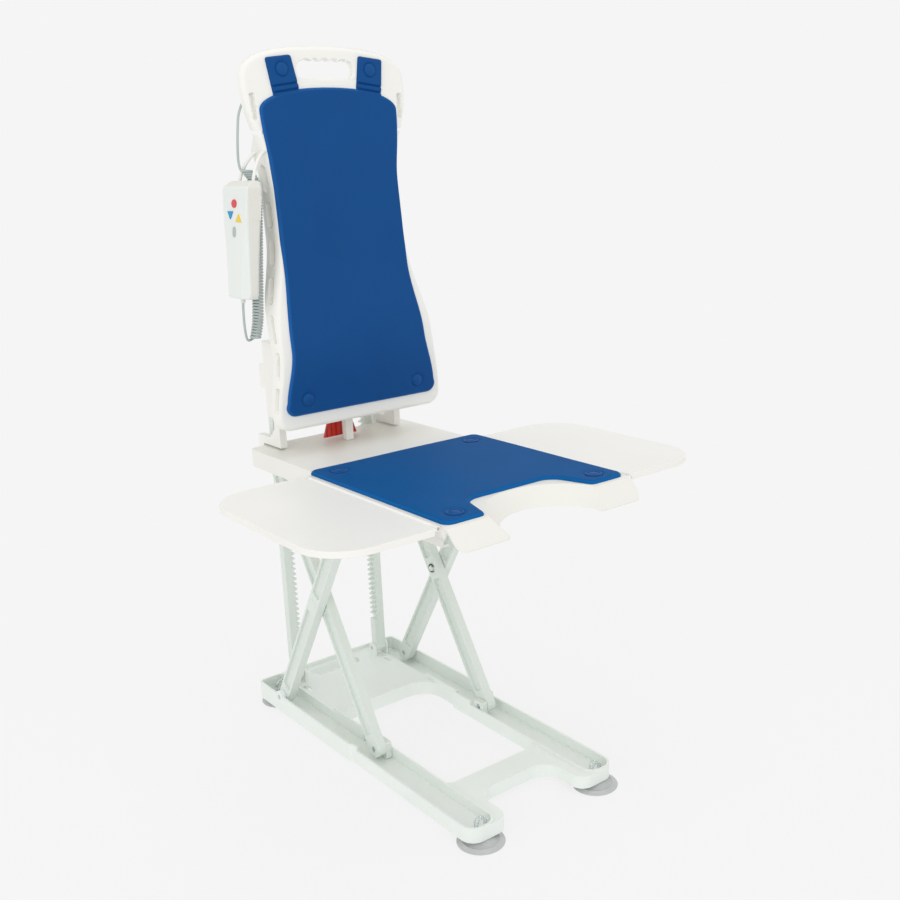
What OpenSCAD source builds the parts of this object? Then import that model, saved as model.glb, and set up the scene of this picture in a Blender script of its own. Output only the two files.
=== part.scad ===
// Battery bath lift: a scissor lift with a seat, folding side flaps, a reclining
// backrest with its drive, and a corded handset that hangs on the backrest.
// Millimetres, Z up, the sitter faces -Y. Drawn at rest: seat raised, back upright.

/* [Base] */
// length of the base behind the rear leg pivots
base_tail = 76; // [70:1:86]
// overall width of the base frame
base_width = 290; // [286:1:296]
// height of the rail tops above the floor
base_top = 40; // [38:0.5:42]
// height of the rail undersides above the floor
base_bottom = 10; // [9:0.5:11]
// height of the trough floors above the floor
trough_floor = 16; // [14:0.5:17]
// thickness of the moulded base walls
base_wall = 3.5; // [3:0.1:4]
// radius of a suction cup
cup_radius = 35; // [30:0.5:38]

/* [Lift] */
// distance between the end pivots of a scissor leg
leg_length = 495; // [485:1:500]
// angle of the legs to the floor when the seat is up
raised_angle = 58.3; // [54:0.1:60]
// angle of the legs to the floor when the seat is down
lowered_angle = 1.2; // [1:0.1:2]
// height of the lower pivots above the floor
pivot_z = 36; // [35.5:0.5:38]
// width of a leg across its face
leg_width = 28; // [24:0.5:29]
// thickness of a leg
leg_thickness = 15.5; // [14:0.1:16]
// radius of the pivot pins
pin_radius = 4.5; // [4:0.1:5]
// radial clearance of a running pin
running_fit = 0.06; // [0.02:0.01:0.1]
// gap between sliding faces
slide_gap = 0.35; // [0.3:0.05:0.5]
// tooth pitch of the racks
rack_pitch = 9.42; // [8:0.01:10]

/* [Seat] */
// half width of the front part of the seat
seat_half_front = 165; // [162:0.5:170]
// half width of the rear part of the seat
seat_half_rear = 150; // [146:0.5:154]
// height of the deck above the upper leg pivots
deck_rise = 26.8; // [25:0.1:30]
// thickness of the deck
deck_thick = 3.5; // [3:0.1:4]
// thickness of the seat cover
pad_thick = 5.5; // [4:0.1:7]
// how far a flap reaches out from the middle
flap_reach = 337; // [320:1:350]
// thickness of a flap plate
flap_thick = 3.2; // [2.6:0.1:3.6]
// rounding of the outer corners of a flap
flap_corner = 70; // [60:1:75]

/* [Backrest] */
// height of the backrest shell
back_height = 581; // [560:1:600]
// half width of the shell near its bottom
back_half_bottom = 157; // [152:0.5:162]
// half width of the shell at its waist
back_half_waist = 117; // [114:0.5:119]
// half width of the shell near its top
back_half_top = 147; // [142:0.5:150]
// thickness of the shell
back_wall = 3.5; // [3:0.1:4]
// thickness of the back cover
cover_thick = 5; // [4:0.1:6]
// backward lean of the backrest at rest
back_lean = 5; // [4:0.1:6]
// forward bulge that supports the lower back
lumbar = 14; // [10:0.5:16]

/* [Handset] */
// height of the handset case
handset_height = 176; // [165:1:185]
// width of the handset case
handset_width = 75; // [68:0.5:78]
// thickness of the handset case
handset_thick = 28; // [26:0.5:32]
// lean of the hanging handset along the side of the shell
handset_lean = 5; // [3:0.5:6]
// radius of the cord
cord_radius = 2; // [1.8:0.05:2.1]

/* [Hidden] */
$fn = 64;

// base stations along Y and across X, long enough for the lowered legs
shoe_stop = 39.1;
base_length = round(shoe_stop + leg_length * cos(lowered_angle)) + base_tail;
base_rear_y = base_length / 2 + 10;
base_front_y = base_rear_y - base_length;
rail_out_rear = base_width / 2;
rail_in_rear = rail_out_rear - 50;
rail_out_front = rail_out_rear - 4;
rail_in_front = rail_out_front - 52;
front_wall_top = base_top - 7;
plate_top = base_top - 6;
plate_front_y = base_rear_y - 186;
bar_rear_y = base_front_y + 122;
bar_front_y = bar_rear_y - 45;
bar_top = base_bottom + 20;
cup_x = (rail_in_front + rail_out_front) / 2 - 3;
cup_front_y = base_front_y + 15;
cup_rear_y = base_rear_y - 20;

// scissor stations, rounded so that faces which meet lie in one plane
function hundredths(v) = round(100 * v) / 100;
pivot_y = base_rear_y - base_tail;
leg_rise = hundredths(leg_length * sin(raised_angle));
leg_run = hundredths(leg_length * cos(raised_angle));
travel = leg_rise - hundredths(leg_length * sin(lowered_angle));
slider_y = pivot_y - leg_run;
slider_end_y = pivot_y - hundredths(leg_length * cos(lowered_angle));
top_z = pivot_z + leg_rise;
cross_y = pivot_y - leg_run / 2;
cross_z = pivot_z + leg_rise / 2;
leg_gap = 1.5;
outer_leg_end = rail_out_front - base_wall - 1;
outer_leg_x = outer_leg_end - leg_thickness;
inner_leg_x = outer_leg_x - leg_gap - leg_thickness;
lower_shoe_x0 = rail_in_front + base_wall + slide_gap + 0.2;
lower_shoe_x1 = inner_leg_x - slide_gap;
upper_shoe_x0 = outer_leg_end + slide_gap + 0.7;
upper_shoe_x1 = upper_shoe_x0 + 9.4;
shoe_half_y = 12;
shoe_half_z = 8;
step_y = slider_y + shoe_half_y + 6;
rail_join_y = round(step_y) + 8;

// racks and the recline axis, which meet when the seat is down
rack_y = pivot_y + 33;
rack_axis_z = 50;
recline_z = rack_axis_z + travel;
rack_out = inner_leg_x - 5;
rack_in = rack_out - 21;
rack_depth = 15;
rack_half = rack_depth / 2;
rack_top = recline_z + 160;
knuckle = 9;

// seat levels and outline
deck_z = top_z + deck_rise;
seat_rear_y = pivot_y + 18;
seat_step_y = seat_rear_y - 217;
seat_edge_y = round(slider_end_y) - 42;
seat_front_y = seat_edge_y - 32;
seat_skirt_z = deck_z - 29;
seat_wall = 3.5;
bight_r = 77;
bight_y = seat_edge_y - 36;
bight_flare = 24;
pad_clear = 1.5;
horn_r = 20;
horn_y = seat_front_y + horn_r - 1;
horn_x = hundredths(sqrt(pow(bight_r + horn_r - 1, 2) - pow(horn_y - bight_y, 2)));
pad_front_y = seat_edge_y;
pad_rear_y = seat_step_y + 8;
pad_half = seat_half_front - 4;
stud_x = 126;
stud_rear_y = seat_step_y - 27;
stud_front_y = seat_edge_y + 28;

// flap hinge
flap_axis_x = seat_half_front + 4.6;
flap_axis_z = deck_z - 2.5;
flap_top = deck_z - 0.5;
flap_barrel = 4;
flap_front_y = seat_edge_y + 2;
flap_rear_y = seat_step_y;
flap_lug = 10;

// backrest stations
back_z = deck_z + 46;
back_y = rack_y - 139;
housing_front_y = rack_y - 122;
housing_rear_y = rack_y - 17;
housing_low_z = back_z + 5;
housing_high_z = back_z + 130;
gear_z = back_z + 67;
gear_tip = 34;
gear_x = rack_in - 0.5 - gear_tip;
gear_back_y = rack_y + 16;
motor_radius = 16;
arm_x0 = inner_leg_x + 3.2;
arm_x1 = arm_x0 + 12;
arm_mid = (arm_x0 + arm_x1) / 2;
housing_half = arm_x1 - 1.2;
arm_y = rack_y - 67;
lever_y = rack_y - 59;
lever_z = housing_low_z - 8;

// handset stations
handset_out_x = -172;
handset_in_x = handset_out_x + handset_thick;
handset_mid_x = handset_out_x + handset_thick / 2;
handset_y = rack_y - 87;
handset_low_z = deck_z + 252;
handset_high_z = handset_low_z + handset_height;
hook_z = handset_high_z + 28;
hook_x0 = handset_out_x + 18;
hook_x1 = -111;
hook_mean = (hook_x1 - hook_x0) / 2;

// the handset hangs from the edge of the opening in the shell
hang_x = -117;
hang_z = hook_z + 12;
function hung(p) = [
    hang_x + (p[0] - hang_x) * cos(handset_lean) + (p[2] - hang_z) * sin(handset_lean), p[1],
    hang_z - (p[0] - hang_x) * sin(handset_lean) + (p[2] - hang_z) * cos(handset_lean)
];
module hang() {
    translate([hang_x, 0, hang_z]) rotate([0, handset_lean, 0]) translate([-hang_x, 0, -hang_z]) children();
}

// cord route, chosen by hand: drive end first, then down the coil to the handset
coil_x = -135.5;
coil_y = rack_y - 75;
coil_low_z = deck_z + 174;
coil_high_z = deck_z + 430;
coil_turns = 58;
coil_drift = 5;
coil_mean = 7.2;
socket_x = -90;
socket_y = coil_y + 3;
route_up = [
    [socket_x, socket_y, housing_high_z + 12],
    [socket_x, socket_y, housing_high_z + 18],
    [-92, coil_y + 3, deck_z + 220],
    [-98, coil_y + 4, deck_z + 320],
    [-102, coil_y + 6, deck_z + 430],
    [-106, coil_y + 6, deck_z + 505],
    [-118, coil_y + 5, deck_z + 542],
    [-134, coil_y + 3, deck_z + 548],
    [-146, coil_y + 2, deck_z + 530],
    [-149, coil_y + 1, deck_z + 505],
    [-146, coil_y + 1, deck_z + 475],
    [-139, coil_y, deck_z + 450],
    [coil_x, coil_y, coil_high_z + 8]
];
route_down = [
    [coil_x - coil_drift, coil_y, coil_low_z - 7],
    [-146, coil_y - 1, coil_low_z - 12],
    [-157, coil_y - 4, coil_low_z - 4],
    [-166, coil_y - 8, deck_z + 198],
    hung([handset_mid_x, handset_y, handset_low_z - 26]),
    hung([handset_mid_x, handset_y, handset_low_z - 12])
];

// copies a right-hand piece to the left
module pair() {
    children();
    mirror([1, 0, 0]) children();
}

// flat rounded rectangle from corner to corner
module slab(x0, y0, x1, y1, r) {
    translate([x0 + r, y0]) square([x1 - x0 - 2 * r, y1 - y0]);
    translate([x0, y0 + r]) square([x1 - x0, y1 - y0 - 2 * r]);
    for (x = [x0 + r, x1 - r], y = [y0 + r, y1 - r]) translate([x, y]) circle(r);
}

// box from corner to corner
module block(a, b) {
    translate(a) cube(b - a);
}

// plain rod along X
module rod_x(x0, x1, y, z, r) {
    translate([x0, y, z]) rotate([0, 90, 0]) cylinder(r = r, h = x1 - x0);
}

// plain rod along Y
module rod_y(x, y0, y1, z, r) {
    translate([x, y1, z]) rotate([90, 0, 0]) cylinder(r = r, h = y1 - y0);
}

// a YZ outline given thickness from x0 to x1
module plate_x(x0, x1) {
    translate([x0, 0, 0]) rotate([90, 0, 90]) linear_extrude(x1 - x0) children();
}

// an XZ outline given thickness from y0 to y1
module plate_y(y0, y1) {
    translate([0, y1, 0]) rotate([90, 0, 0]) linear_extrude(y1 - y0) children();
}

// plan of the right-hand rail, shrunk by an inset
module rail_plan(i) {
    slab(rail_in_front + i, base_front_y + i, rail_out_front - i, rail_join_y + 40 - i, 22 - i);
    slab(rail_in_rear + i, rail_join_y + i, rail_out_rear - i, base_rear_y - i, 10 - i);
    translate([rail_in_front + i, rail_join_y - 60])
        square([rail_out_front - rail_in_front - 2 * i, 100 - i]);
}

// plan of the wider foot at the front of the right-hand rail
module foot_plan() {
    slab(rail_in_front - 19, base_front_y, rail_out_front, bar_front_y + 30, 22);
}

// slot for the hand with a scalloped front edge
module hand_hold() {
    slab(-50, base_rear_y - 39, 50, base_rear_y - 13, 12);
    for (x = [-36, -18, 0, 18, 36]) translate([x, base_rear_y - 38]) circle(9.5);
}

// bosses for the rear leg pins and ears for the rack axles
module base_bosses() {
    rod_x(outer_leg_end + 0.5, rail_out_rear, pivot_y, pivot_z, 11);
    block([rail_out_rear - base_wall, pivot_y - 11, trough_floor - 1],
          [rail_out_rear, pivot_y + 11, pivot_z]);
    for (x = [[rack_in - 5.5, rack_in - 0.5], [rack_out + 0.4, rack_out + 3.8]]) {
        rod_x(x[0], x[1], rack_y, rack_axis_z, knuckle);
        block([x[0], rack_y - knuckle, trough_floor - 1], [x[1], rack_y + knuckle, rack_axis_z]);
    }
}

// web that rounds the inside corner at a place, toward -X and -Y, or +Y when turned
module corner_web(x, y, r, s) {
    translate([x, y]) scale([1, s]) difference() {
        translate([-r, -r]) square([r + 1, r + 1]);
        translate([-r, -r]) circle(r);
    }
}

// rails, feet, rear plate and front bar before they are hollowed out
module base_mass() {
    pair() {
        translate([0, 0, base_bottom]) linear_extrude(front_wall_top - base_bottom) rail_plan(0);
        translate([0, 0, base_bottom]) linear_extrude(base_top - base_bottom) intersection() {
            rail_plan(0);
            translate([0, step_y]) square([200, base_length]);
        }
        translate([0, 0, base_bottom]) linear_extrude(bar_top - base_bottom) {
            foot_plan();
            corner_web(rail_in_front - 19, bar_front_y, 34, 1);
        }
        translate([0, 0, base_bottom]) linear_extrude(plate_top - base_bottom)
            corner_web(rail_in_rear, plate_front_y, 40, 1);
        translate([0, 0, base_bottom]) linear_extrude(bar_top - base_bottom)
            corner_web(rail_in_front, bar_rear_y, 16, -1);
    }
    block([-rail_in_rear - 2, plate_front_y, base_bottom], [rail_in_rear + 2, base_rear_y - 12, plate_top]);
    block([-rail_in_rear - 2, base_rear_y - 16, base_bottom], [rail_in_rear + 2, base_rear_y, base_top]);
    block([-rail_in_front - 2, bar_front_y, base_bottom], [rail_in_front + 2, bar_rear_y, bar_top]);
}

module base_frame() {
    color("#D5DFD5") difference() {
        union() {
            difference() {
                base_mass();
                pair() {
                    translate([0, 0, trough_floor]) linear_extrude(40) rail_plan(base_wall);
                    // the foot is hollow from below beside the trough
                    block([rail_in_front - 19 + base_wall, base_front_y + 22, base_bottom - 1],
                          [rail_in_front, bar_front_y + base_wall + 1, bar_top - base_wall]);
                    // the inner wall drops to the plate where the seat lugs come down
                    block([rail_in_rear - 3, plate_front_y + 5, plate_top],
                          [rail_in_rear + 6, base_rear_y - 16, base_top + 1]);
                }
                block([-rail_in_rear, plate_front_y + base_wall, base_bottom - 1],
                      [rail_in_rear, base_rear_y - base_wall, plate_top - base_wall]);
                block([-rail_in_front, bar_front_y + base_wall, base_bottom - 1],
                      [rail_in_front, bar_rear_y - base_wall, bar_top - base_wall]);
                block([-rail_in_rear + base_wall, base_rear_y - 16 - base_wall, plate_top],
                      [rail_in_rear - base_wall, base_rear_y - base_wall, base_top + 1]);
            }
            pair() base_bosses();
        }
        pair() {
            for (y = [cup_front_y, cup_rear_y]) translate([cup_x, y, 0]) cylinder(r = 7, h = 30);
            translate([0, 0, base_bottom - 1]) linear_extrude(60)
                slab(rack_in + 4, pivot_y - 9, rack_in + 14, pivot_y + 17, 4.9);
            rod_x(outer_leg_end, rail_out_rear + 1, pivot_y, pivot_z, pin_radius);
            rod_x(rack_in - 6, rack_out + 5, rack_y, rack_axis_z, 3.5);
        }
        translate([0, 0, base_bottom - 1]) linear_extrude(60) hand_hold();
    }
}

module suction_cups() {
    stem_top = trough_floor + 1.5;
    color("#B4B4B4") pair() for (y = [cup_front_y, cup_rear_y]) translate([cup_x, y, 0])
        rotate_extrude() polygon([
            [0, 4], [18, 3], [cup_radius - 3, 0], [cup_radius, 0], [cup_radius, 1.4], [cup_radius - 8, 4.2],
            [14, 8.4], [10, base_bottom], [7, base_bottom], [7, stem_top], [0, stem_top]
        ]);
}

module pull_tabs() {
    color("#C9CFD2") pair() for (y = [cup_front_y - 1, cup_rear_y - 2])
        plate_x(cup_x - 3, cup_x + 3) difference() {
            union() {
                translate([y, trough_floor + 20]) circle(8);
                translate([y - 3, trough_floor + 1.5]) square([6, 14]);
            }
            translate([y, trough_floor + 20]) circle(5.4);
        }
}

module base_pivot_pins() {
    color("#C8CBCD") pair() rod_x(outer_leg_x + 0.5, rail_out_rear, pivot_y, pivot_z, pin_radius);
}

module rack_axles() {
    color("#C8CBCD") pair() rod_x(rack_in - 5.5, rack_out + 3.8, rack_y, rack_axis_z, 3.5);
}

// right-hand rack: a toothed post on a foot knuckle, teeth facing the middle
module rack_body() {
    teeth = floor((rack_top - rack_axis_z - 70) / rack_pitch);
    start = rack_axis_z + 64;
    root = rack_in + 6.5;
    tooth = [[root, 0.86], [rack_in, 0.62], [rack_in, 0.38], [root, 0.14]];
    difference() {
        union() {
            plate_y(rack_y - rack_half, rack_y + rack_half) polygon(concat(
                [[rack_out, rack_axis_z], [rack_out, rack_top], [root, rack_top]],
                [for (i = [teeth - 1:-1:0], p = tooth) [p[0], start + (i + p[1]) * rack_pitch]],
                [[root, rack_axis_z]]));
            rod_x(rack_in, rack_out, rack_y, rack_axis_z, knuckle - 0.5);
            block([rack_in, rack_y - rack_half, rack_axis_z],
                  [root + 1, rack_y + rack_half, rack_axis_z + 58]);
        }
        rod_x(rack_in - 1, rack_out + 1, rack_y, rack_axis_z, 3.5 + running_fit);
    }
}

module right_rack() {
    color("#DCE4DC") rack_body();
}

module left_rack() {
    color("#DCE4DC") mirror([1, 0, 0]) rack_body();
}

// leg lying along +Y from its first pivot, with raised rims and three bosses
module leg_bar(x0, bores) {
    half = leg_width / 2;
    rim = 4;
    recess = 4.5;
    difference() {
        plate_x(x0, x0 + leg_thickness) union() {
            translate([0, -half]) square([leg_length, leg_width]);
            circle(half);
            translate([leg_length, 0]) circle(half);
        }
        for (u = [[24, leg_length / 2 - 20], [leg_length / 2 + 20, leg_length - 24]])
            for (x = [[x0 - 1, x0 + recess], [x0 + leg_thickness - recess, x0 + leg_thickness + 1]])
                plate_x(x[0], x[1]) slab(u[0], -half + rim, u[1], half - rim, 4);
        for (i = [0, 1, 2]) rod_x(x0 - 1, x0 + leg_thickness + 1, i * leg_length / 2, 0, bores[i]);
    }
}

// pivot bores from the first end: running on the base pin, fixed on the other two
module outer_leg_body() {
    translate([0, pivot_y, pivot_z]) rotate([180 - raised_angle, 0, 0])
        leg_bar(outer_leg_x, [pin_radius + running_fit, pin_radius, pin_radius]);
}

module right_outer_leg() {
    color("#D5DFD5") outer_leg_body();
}

module left_outer_leg() {
    color("#D5DFD5") mirror([1, 0, 0]) outer_leg_body();
}

module inner_leg_body() {
    translate([0, slider_y, pivot_z]) rotate([raised_angle, 0, 0])
        leg_bar(inner_leg_x, [pin_radius, pin_radius + running_fit, pin_radius + running_fit]);
}

module right_inner_leg() {
    color("#DCE4DC") inner_leg_body();
}

module left_inner_leg() {
    color("#DCE4DC") mirror([1, 0, 0]) inner_leg_body();
}

// pin through both legs with a low cap outside
module crossing_pins() {
    color("#C8CBCD") pair() {
        rod_x(inner_leg_x - 3.4, outer_leg_end, cross_y, cross_z, pin_radius);
        rod_x(outer_leg_end, outer_leg_end + 0.6, cross_y, cross_z, 9);
    }
}

// spring clip in front of the inner leg
module crossing_clips() {
    color("#3C4043") pair() translate([inner_leg_x - 2, cross_y, cross_z]) rotate([0, 90, 0])
        linear_extrude(1.4) difference() {
            circle(8.5);
            circle(pin_radius);
            translate([0, -2.2]) square([12, 4.4]);
        }
}

module upper_shoe_pins() {
    color("#C8CBCD") pair() rod_x(outer_leg_x, upper_shoe_x1 - 1, slider_y, top_z, pin_radius);
}

module upper_shoes() {
    color("#C9D2CC") pair() difference() {
        plate_x(upper_shoe_x0, upper_shoe_x1)
            slab(slider_y - shoe_half_y, top_z - shoe_half_z, slider_y + shoe_half_y, top_z + shoe_half_z, 3);
        rod_x(upper_shoe_x0 - 1, upper_shoe_x1 + 1, slider_y, top_z, pin_radius + running_fit);
    }
}

module lower_shoe_pins() {
    color("#C8CBCD") pair()
        rod_x(lower_shoe_x0 + 1, inner_leg_x + leg_thickness, slider_y, pivot_z, pin_radius);
}

module lower_shoes() {
    color("#C9D2CC") pair() difference() {
        plate_x(lower_shoe_x0, lower_shoe_x1)
            slab(slider_y - shoe_half_y, trough_floor + slide_gap, slider_y + shoe_half_y, pivot_z + 9, 3);
        rod_x(lower_shoe_x0 - 1, lower_shoe_x1 + 1, slider_y, pivot_z, pin_radius + running_fit);
    }
}

// plan of the deck before its bight is cut
module deck_plan(i) {
    slab(-seat_half_rear + i, seat_step_y - 20, seat_half_rear - i, seat_rear_y - i, 12 - i);
    slab(-seat_half_front + i, seat_edge_y - 6 * i, seat_half_front - i, seat_step_y - i, 8 - i);
}

// sloping lip of the two front horns, seen from the side
module lip_outline() {
    under = deck_z - deck_thick;
    polygon([
        [seat_edge_y + 9, under], [seat_edge_y + 9, deck_z], [seat_edge_y, deck_z],
        [seat_edge_y - 6, deck_z - 1.5], [seat_front_y + 4, seat_skirt_z + 7],
        [seat_front_y, seat_skirt_z + 2], [seat_front_y, seat_skirt_z],
        [seat_front_y + 3.5, seat_skirt_z], [seat_edge_y - 5, under - 1.5], [seat_edge_y + 2, under]
    ]);
}

// what lies below the top of the deck and of the lip, seen from the side
module below_lip() {
    polygon([
        [seat_step_y, seat_skirt_z], [seat_step_y, deck_z + 5], [seat_edge_y + 4, deck_z + 5],
        [seat_edge_y + 4, deck_z - 1.3], [seat_edge_y - 6, deck_z - 2.5],
        [seat_front_y + 4, seat_skirt_z + 6], [seat_front_y + 2.4, seat_skirt_z]
    ]);
}

// walls that hang from the edge of the deck, deeper behind the step
module deck_skirt() {
    difference() {
        translate([0, 0, seat_skirt_z]) linear_extrude(deck_z - seat_skirt_z - 1) difference() {
            deck_plan(0);
            deck_plan(seat_wall);
        }
        block([-200, seat_front_y, seat_skirt_z - 1], [200, seat_step_y - seat_wall, deck_z - 15]);
    }
}

// cone of the bight from one level to another, widest at the deck, grown by a margin
function bight_at(z) = bight_r + bight_flare * (z - seat_skirt_z) / (deck_z - seat_skirt_z);
module bight_cone(z0, z1, grow) {
    translate([0, bight_y, z0]) cylinder(r1 = bight_at(z0) + grow, r2 = bight_at(z1) + grow, h = z1 - z0);
}

// what is cut from the inner corner of a horn to round it
module horn_corner() {
    translate([0, 0, seat_skirt_z - 1]) linear_extrude(60) difference() {
        polygon([
            [horn_x, seat_front_y - 1], [horn_x, horn_y],
            [0.77 * horn_x, bight_y + 0.77 * (horn_y - bight_y)], [horn_x - 30, seat_front_y - 1]
        ]);
        translate([horn_x, horn_y]) circle(horn_r);
    }
}

module seat_shell() {
    color("#EDEAE2") difference() {
        union() {
            translate([0, 0, deck_z - deck_thick]) linear_extrude(deck_thick) deck_plan(0);
            deck_skirt();
            intersection() {
                plate_x(-200, 200) lip_outline();
                translate([0, 0, seat_skirt_z - 1]) linear_extrude(60)
                    slab(-seat_half_front, seat_front_y, seat_half_front, seat_edge_y + 40, 16);
            }
            intersection() {
                bight_cone(seat_skirt_z + 3, deck_z - 1, seat_wall);
                plate_x(-200, 200) below_lip();
            }
            pair() {
                upper_track();
                pivot_lug();
                recline_lugs();
                flap_lugs();
            }
        }
        bight_cone(seat_skirt_z - 5, seat_skirt_z + 55, 0);
        pair() {
            horn_corner();
            rod_x(inner_leg_x - 14, inner_leg_x, pivot_y, top_z, pin_radius);
            rod_x(inner_leg_x - 1, arm_x1 + 7, rack_y, recline_z, 3.5);
            rod_y(flap_axis_x, flap_front_y, flap_rear_y, flap_axis_z, 2.2);
            for (y = [stud_rear_y, stud_front_y])
                translate([stud_x, y, deck_z - 20]) cylinder(r = 4, h = 30);
        }
    }
}

// channel under the deck in which an upper shoe runs
module upper_track() {
    z0 = top_z - shoe_half_z - slide_gap;
    z1 = top_z + shoe_half_z + slide_gap;
    x0 = upper_shoe_x0 + 1.5;
    x1 = upper_shoe_x1 + slide_gap;
    y0 = slider_end_y - shoe_half_y - 4;
    y1 = slider_y + shoe_half_y + 4;
    block([x1, y0, z0 - 3], [x1 + 3, y1, deck_z - 1]);
    block([x0, y0, z0 - 3], [x1 + 1, y1, z0]);
    block([x0, y0, z1], [x1 + 1, y1, z1 + 3]);
}

// lug that carries the rear pivot of an inner leg
module pivot_lug() {
    rod_x(inner_leg_x - 8.5, inner_leg_x - 0.6, pivot_y, top_z, 10.5);
    block([inner_leg_x - 8.5, pivot_y - 10.5, top_z], [inner_leg_x - 0.6, pivot_y + 10.5, deck_z - 1]);
}

// ears behind the seat that carry a recline pin
module recline_lugs() {
    for (x = [[arm_x0 - 3.4, arm_x0 - 0.4], [arm_x1 + 0.4, arm_x1 + 4.8]]) {
        rod_x(x[0], x[1], rack_y, recline_z, knuckle);
        block([x[0], seat_rear_y - 2, recline_z - knuckle + 1], [x[1], rack_y, recline_z + knuckle]);
    }
}

// hinge ears for a flap, and rests that pass under its barrel
module flap_lugs() {
    for (y = [flap_front_y + 4, flap_rear_y - 4 - flap_lug]) {
        rod_y(flap_axis_x, y, y + flap_lug, flap_axis_z, flap_barrel);
        block([seat_half_front - 1, y, flap_axis_z - flap_barrel], [flap_axis_x, y + flap_lug, flap_axis_z]);
    }
    low = deck_z - 14;
    end = seat_half_front + 24;
    for (y = [flap_front_y + 88, flap_front_y + 218]) {
        block([seat_half_front - 2, y, low], [end, y + 16, flap_axis_z - flap_barrel - slide_gap]);
        block([flap_axis_x + 6, y, low], [end, y + 16, flap_top - flap_thick - slide_gap]);
    }
}

module pad_plan(i) {
    difference() {
        slab(-pad_half + i, pad_front_y + i, pad_half - i, pad_rear_y - i, 14 - i);
        translate([0, bight_y]) circle(bight_r + bight_flare + pad_clear + i);
    }
}

module seat_pad() {
    color("#2A5FA5") difference() {
        union() {
            translate([0, 0, deck_z]) linear_extrude(pad_thick - 1.2) pad_plan(0);
            translate([0, 0, deck_z + 1]) linear_extrude(pad_thick - 1) pad_plan(1.2);
        }
        pair() for (y = [stud_rear_y, stud_front_y])
            translate([stud_x, y, deck_z - 1]) cylinder(r = 4, h = 20);
    }
}

// domed snap stud, head up, from the face it sits on
module stud(grip) {
    rotate_extrude() polygon([[0, -grip], [4, -grip], [4, 0], [13, 0], [13, 1], [11, 2], [7, 2.7], [0, 3]]);
}

module seat_studs() {
    color("#1F4F8F") pair() for (y = [stud_rear_y, stud_front_y])
        translate([stud_x, y, deck_z + pad_thick]) stud(pad_thick + deck_thick + 2);
}

module seat_pivot_pins() {
    color("#C8CBCD") pair()
        rod_x(inner_leg_x - 8.5, inner_leg_x + leg_thickness - 0.5, pivot_y, top_z, pin_radius);
}

module flap_pins() {
    color("#C8CBCD") pair()
        rod_y(flap_axis_x, flap_front_y + 4, flap_rear_y - 4, flap_axis_z, 2.2);
}

module recline_pins() {
    color("#C8CBCD") pair() rod_x(arm_x0 - 3.4, arm_x1 + 4.8, rack_y, recline_z, 3.5);
}

// right-hand flap: a plate with a turned-down rim and a hinge barrel
module flap_plan(i) {
    slab(flap_axis_x + 5, flap_front_y + i, flap_reach - i, flap_rear_y - i, flap_corner - i);
    translate([flap_axis_x + 5, flap_front_y + i]) square([flap_corner, flap_rear_y - flap_front_y - 2 * i]);
}

module flap_body() {
    y0 = flap_front_y + 4 + flap_lug + slide_gap;
    y1 = flap_rear_y - 4 - flap_lug - slide_gap;
    difference() {
        union() {
            translate([0, 0, flap_top - flap_thick]) linear_extrude(flap_thick) flap_plan(0);
            translate([0, 0, flap_top - 9]) linear_extrude(8) difference() {
                flap_plan(0);
                flap_plan(3);
                translate([flap_axis_x, flap_front_y - 1]) square([8, flap_rear_y - flap_front_y + 2]);
            }
            rod_y(flap_axis_x, y0, y1, flap_axis_z, flap_barrel);
            block([flap_axis_x, y0, flap_top - flap_thick], [flap_axis_x + 8, y1, flap_top]);
        }
        rod_y(flap_axis_x, y0 - 1, y1 + 1, flap_axis_z, 2.2 + running_fit);
    }
}

module right_flap() {
    color("#F1EFE8") flap_body();
}

module left_flap() {
    color("#F1EFE8") mirror([1, 0, 0]) flap_body();
}

// smooth step between stations of a [place, value] list
function smooth(t) = t * t * (3 - 2 * t);
function between(a, b, h) = a[1] + (b[1] - a[1]) * smooth((h - a[0]) / (b[0] - a[0]));
function station(list, h, i = 0) =
    h <= list[0][0] ? list[0][1]
    : i >= len(list) - 1 ? list[len(list) - 1][1]
    : h <= list[i + 1][0] ? between(list[i], list[i + 1], h)
    : station(list, h, i + 1);

// half width of the shell at a height above its bottom edge
side_stations = [
    [30, back_half_bottom], [130, (back_half_bottom * 3 + back_half_waist) / 4], [300, back_half_waist + 1],
    [380, back_half_waist], [back_height - 60, back_half_top]
];
function back_half(h) = station(side_stations, h);

// outline of the shell, narrowed by an inset
crown = 51;
function crown_point(t, i) =
    let (a = 90 * t, n = 2 / 2.6, across = pow(max(cos(a), 0), n), up = pow(max(sin(a), 0), n))
    [(back_half_top - i) * across, back_height - crown + (crown - i) * up];
function back_side(i) = concat(
    [for (a = [0:15:75]) [back_half_bottom - i - 24 + 24 * sin(a), i + 24 - 24 * cos(a)]],
    [for (h = [30:25:back_height - crown - 10]) [back_half(h) - i, h]],
    [for (t = [0:0.0625:1]) crown_point(t, i)]);
module back_outline(i) {
    side = back_side(i);
    n = len(side);
    polygon(concat(
        [for (p = side) [p[0], back_z + p[1]]],
        [for (k = [n - 2:-1:0]) [-side[k][0], back_z + side[k][1]]]));
}

// front face of the shell and the depth of its sides, by height
function bulge(h) = abs(h - 115) < 180 ? lumbar * pow(cos((h - 115) / 2), 4) : 0;
function face_y(h) = back_y + h * tan(back_lean) - bulge(h);
notch_h = back_height - 129;
depth_stations = [[20, 20], [130, 24], [215, 40], [notch_h - 27, 40], [notch_h, 16], [back_height, 13]];
function rim_y(h) = face_y(h) + station(depth_stations, h);

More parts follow.
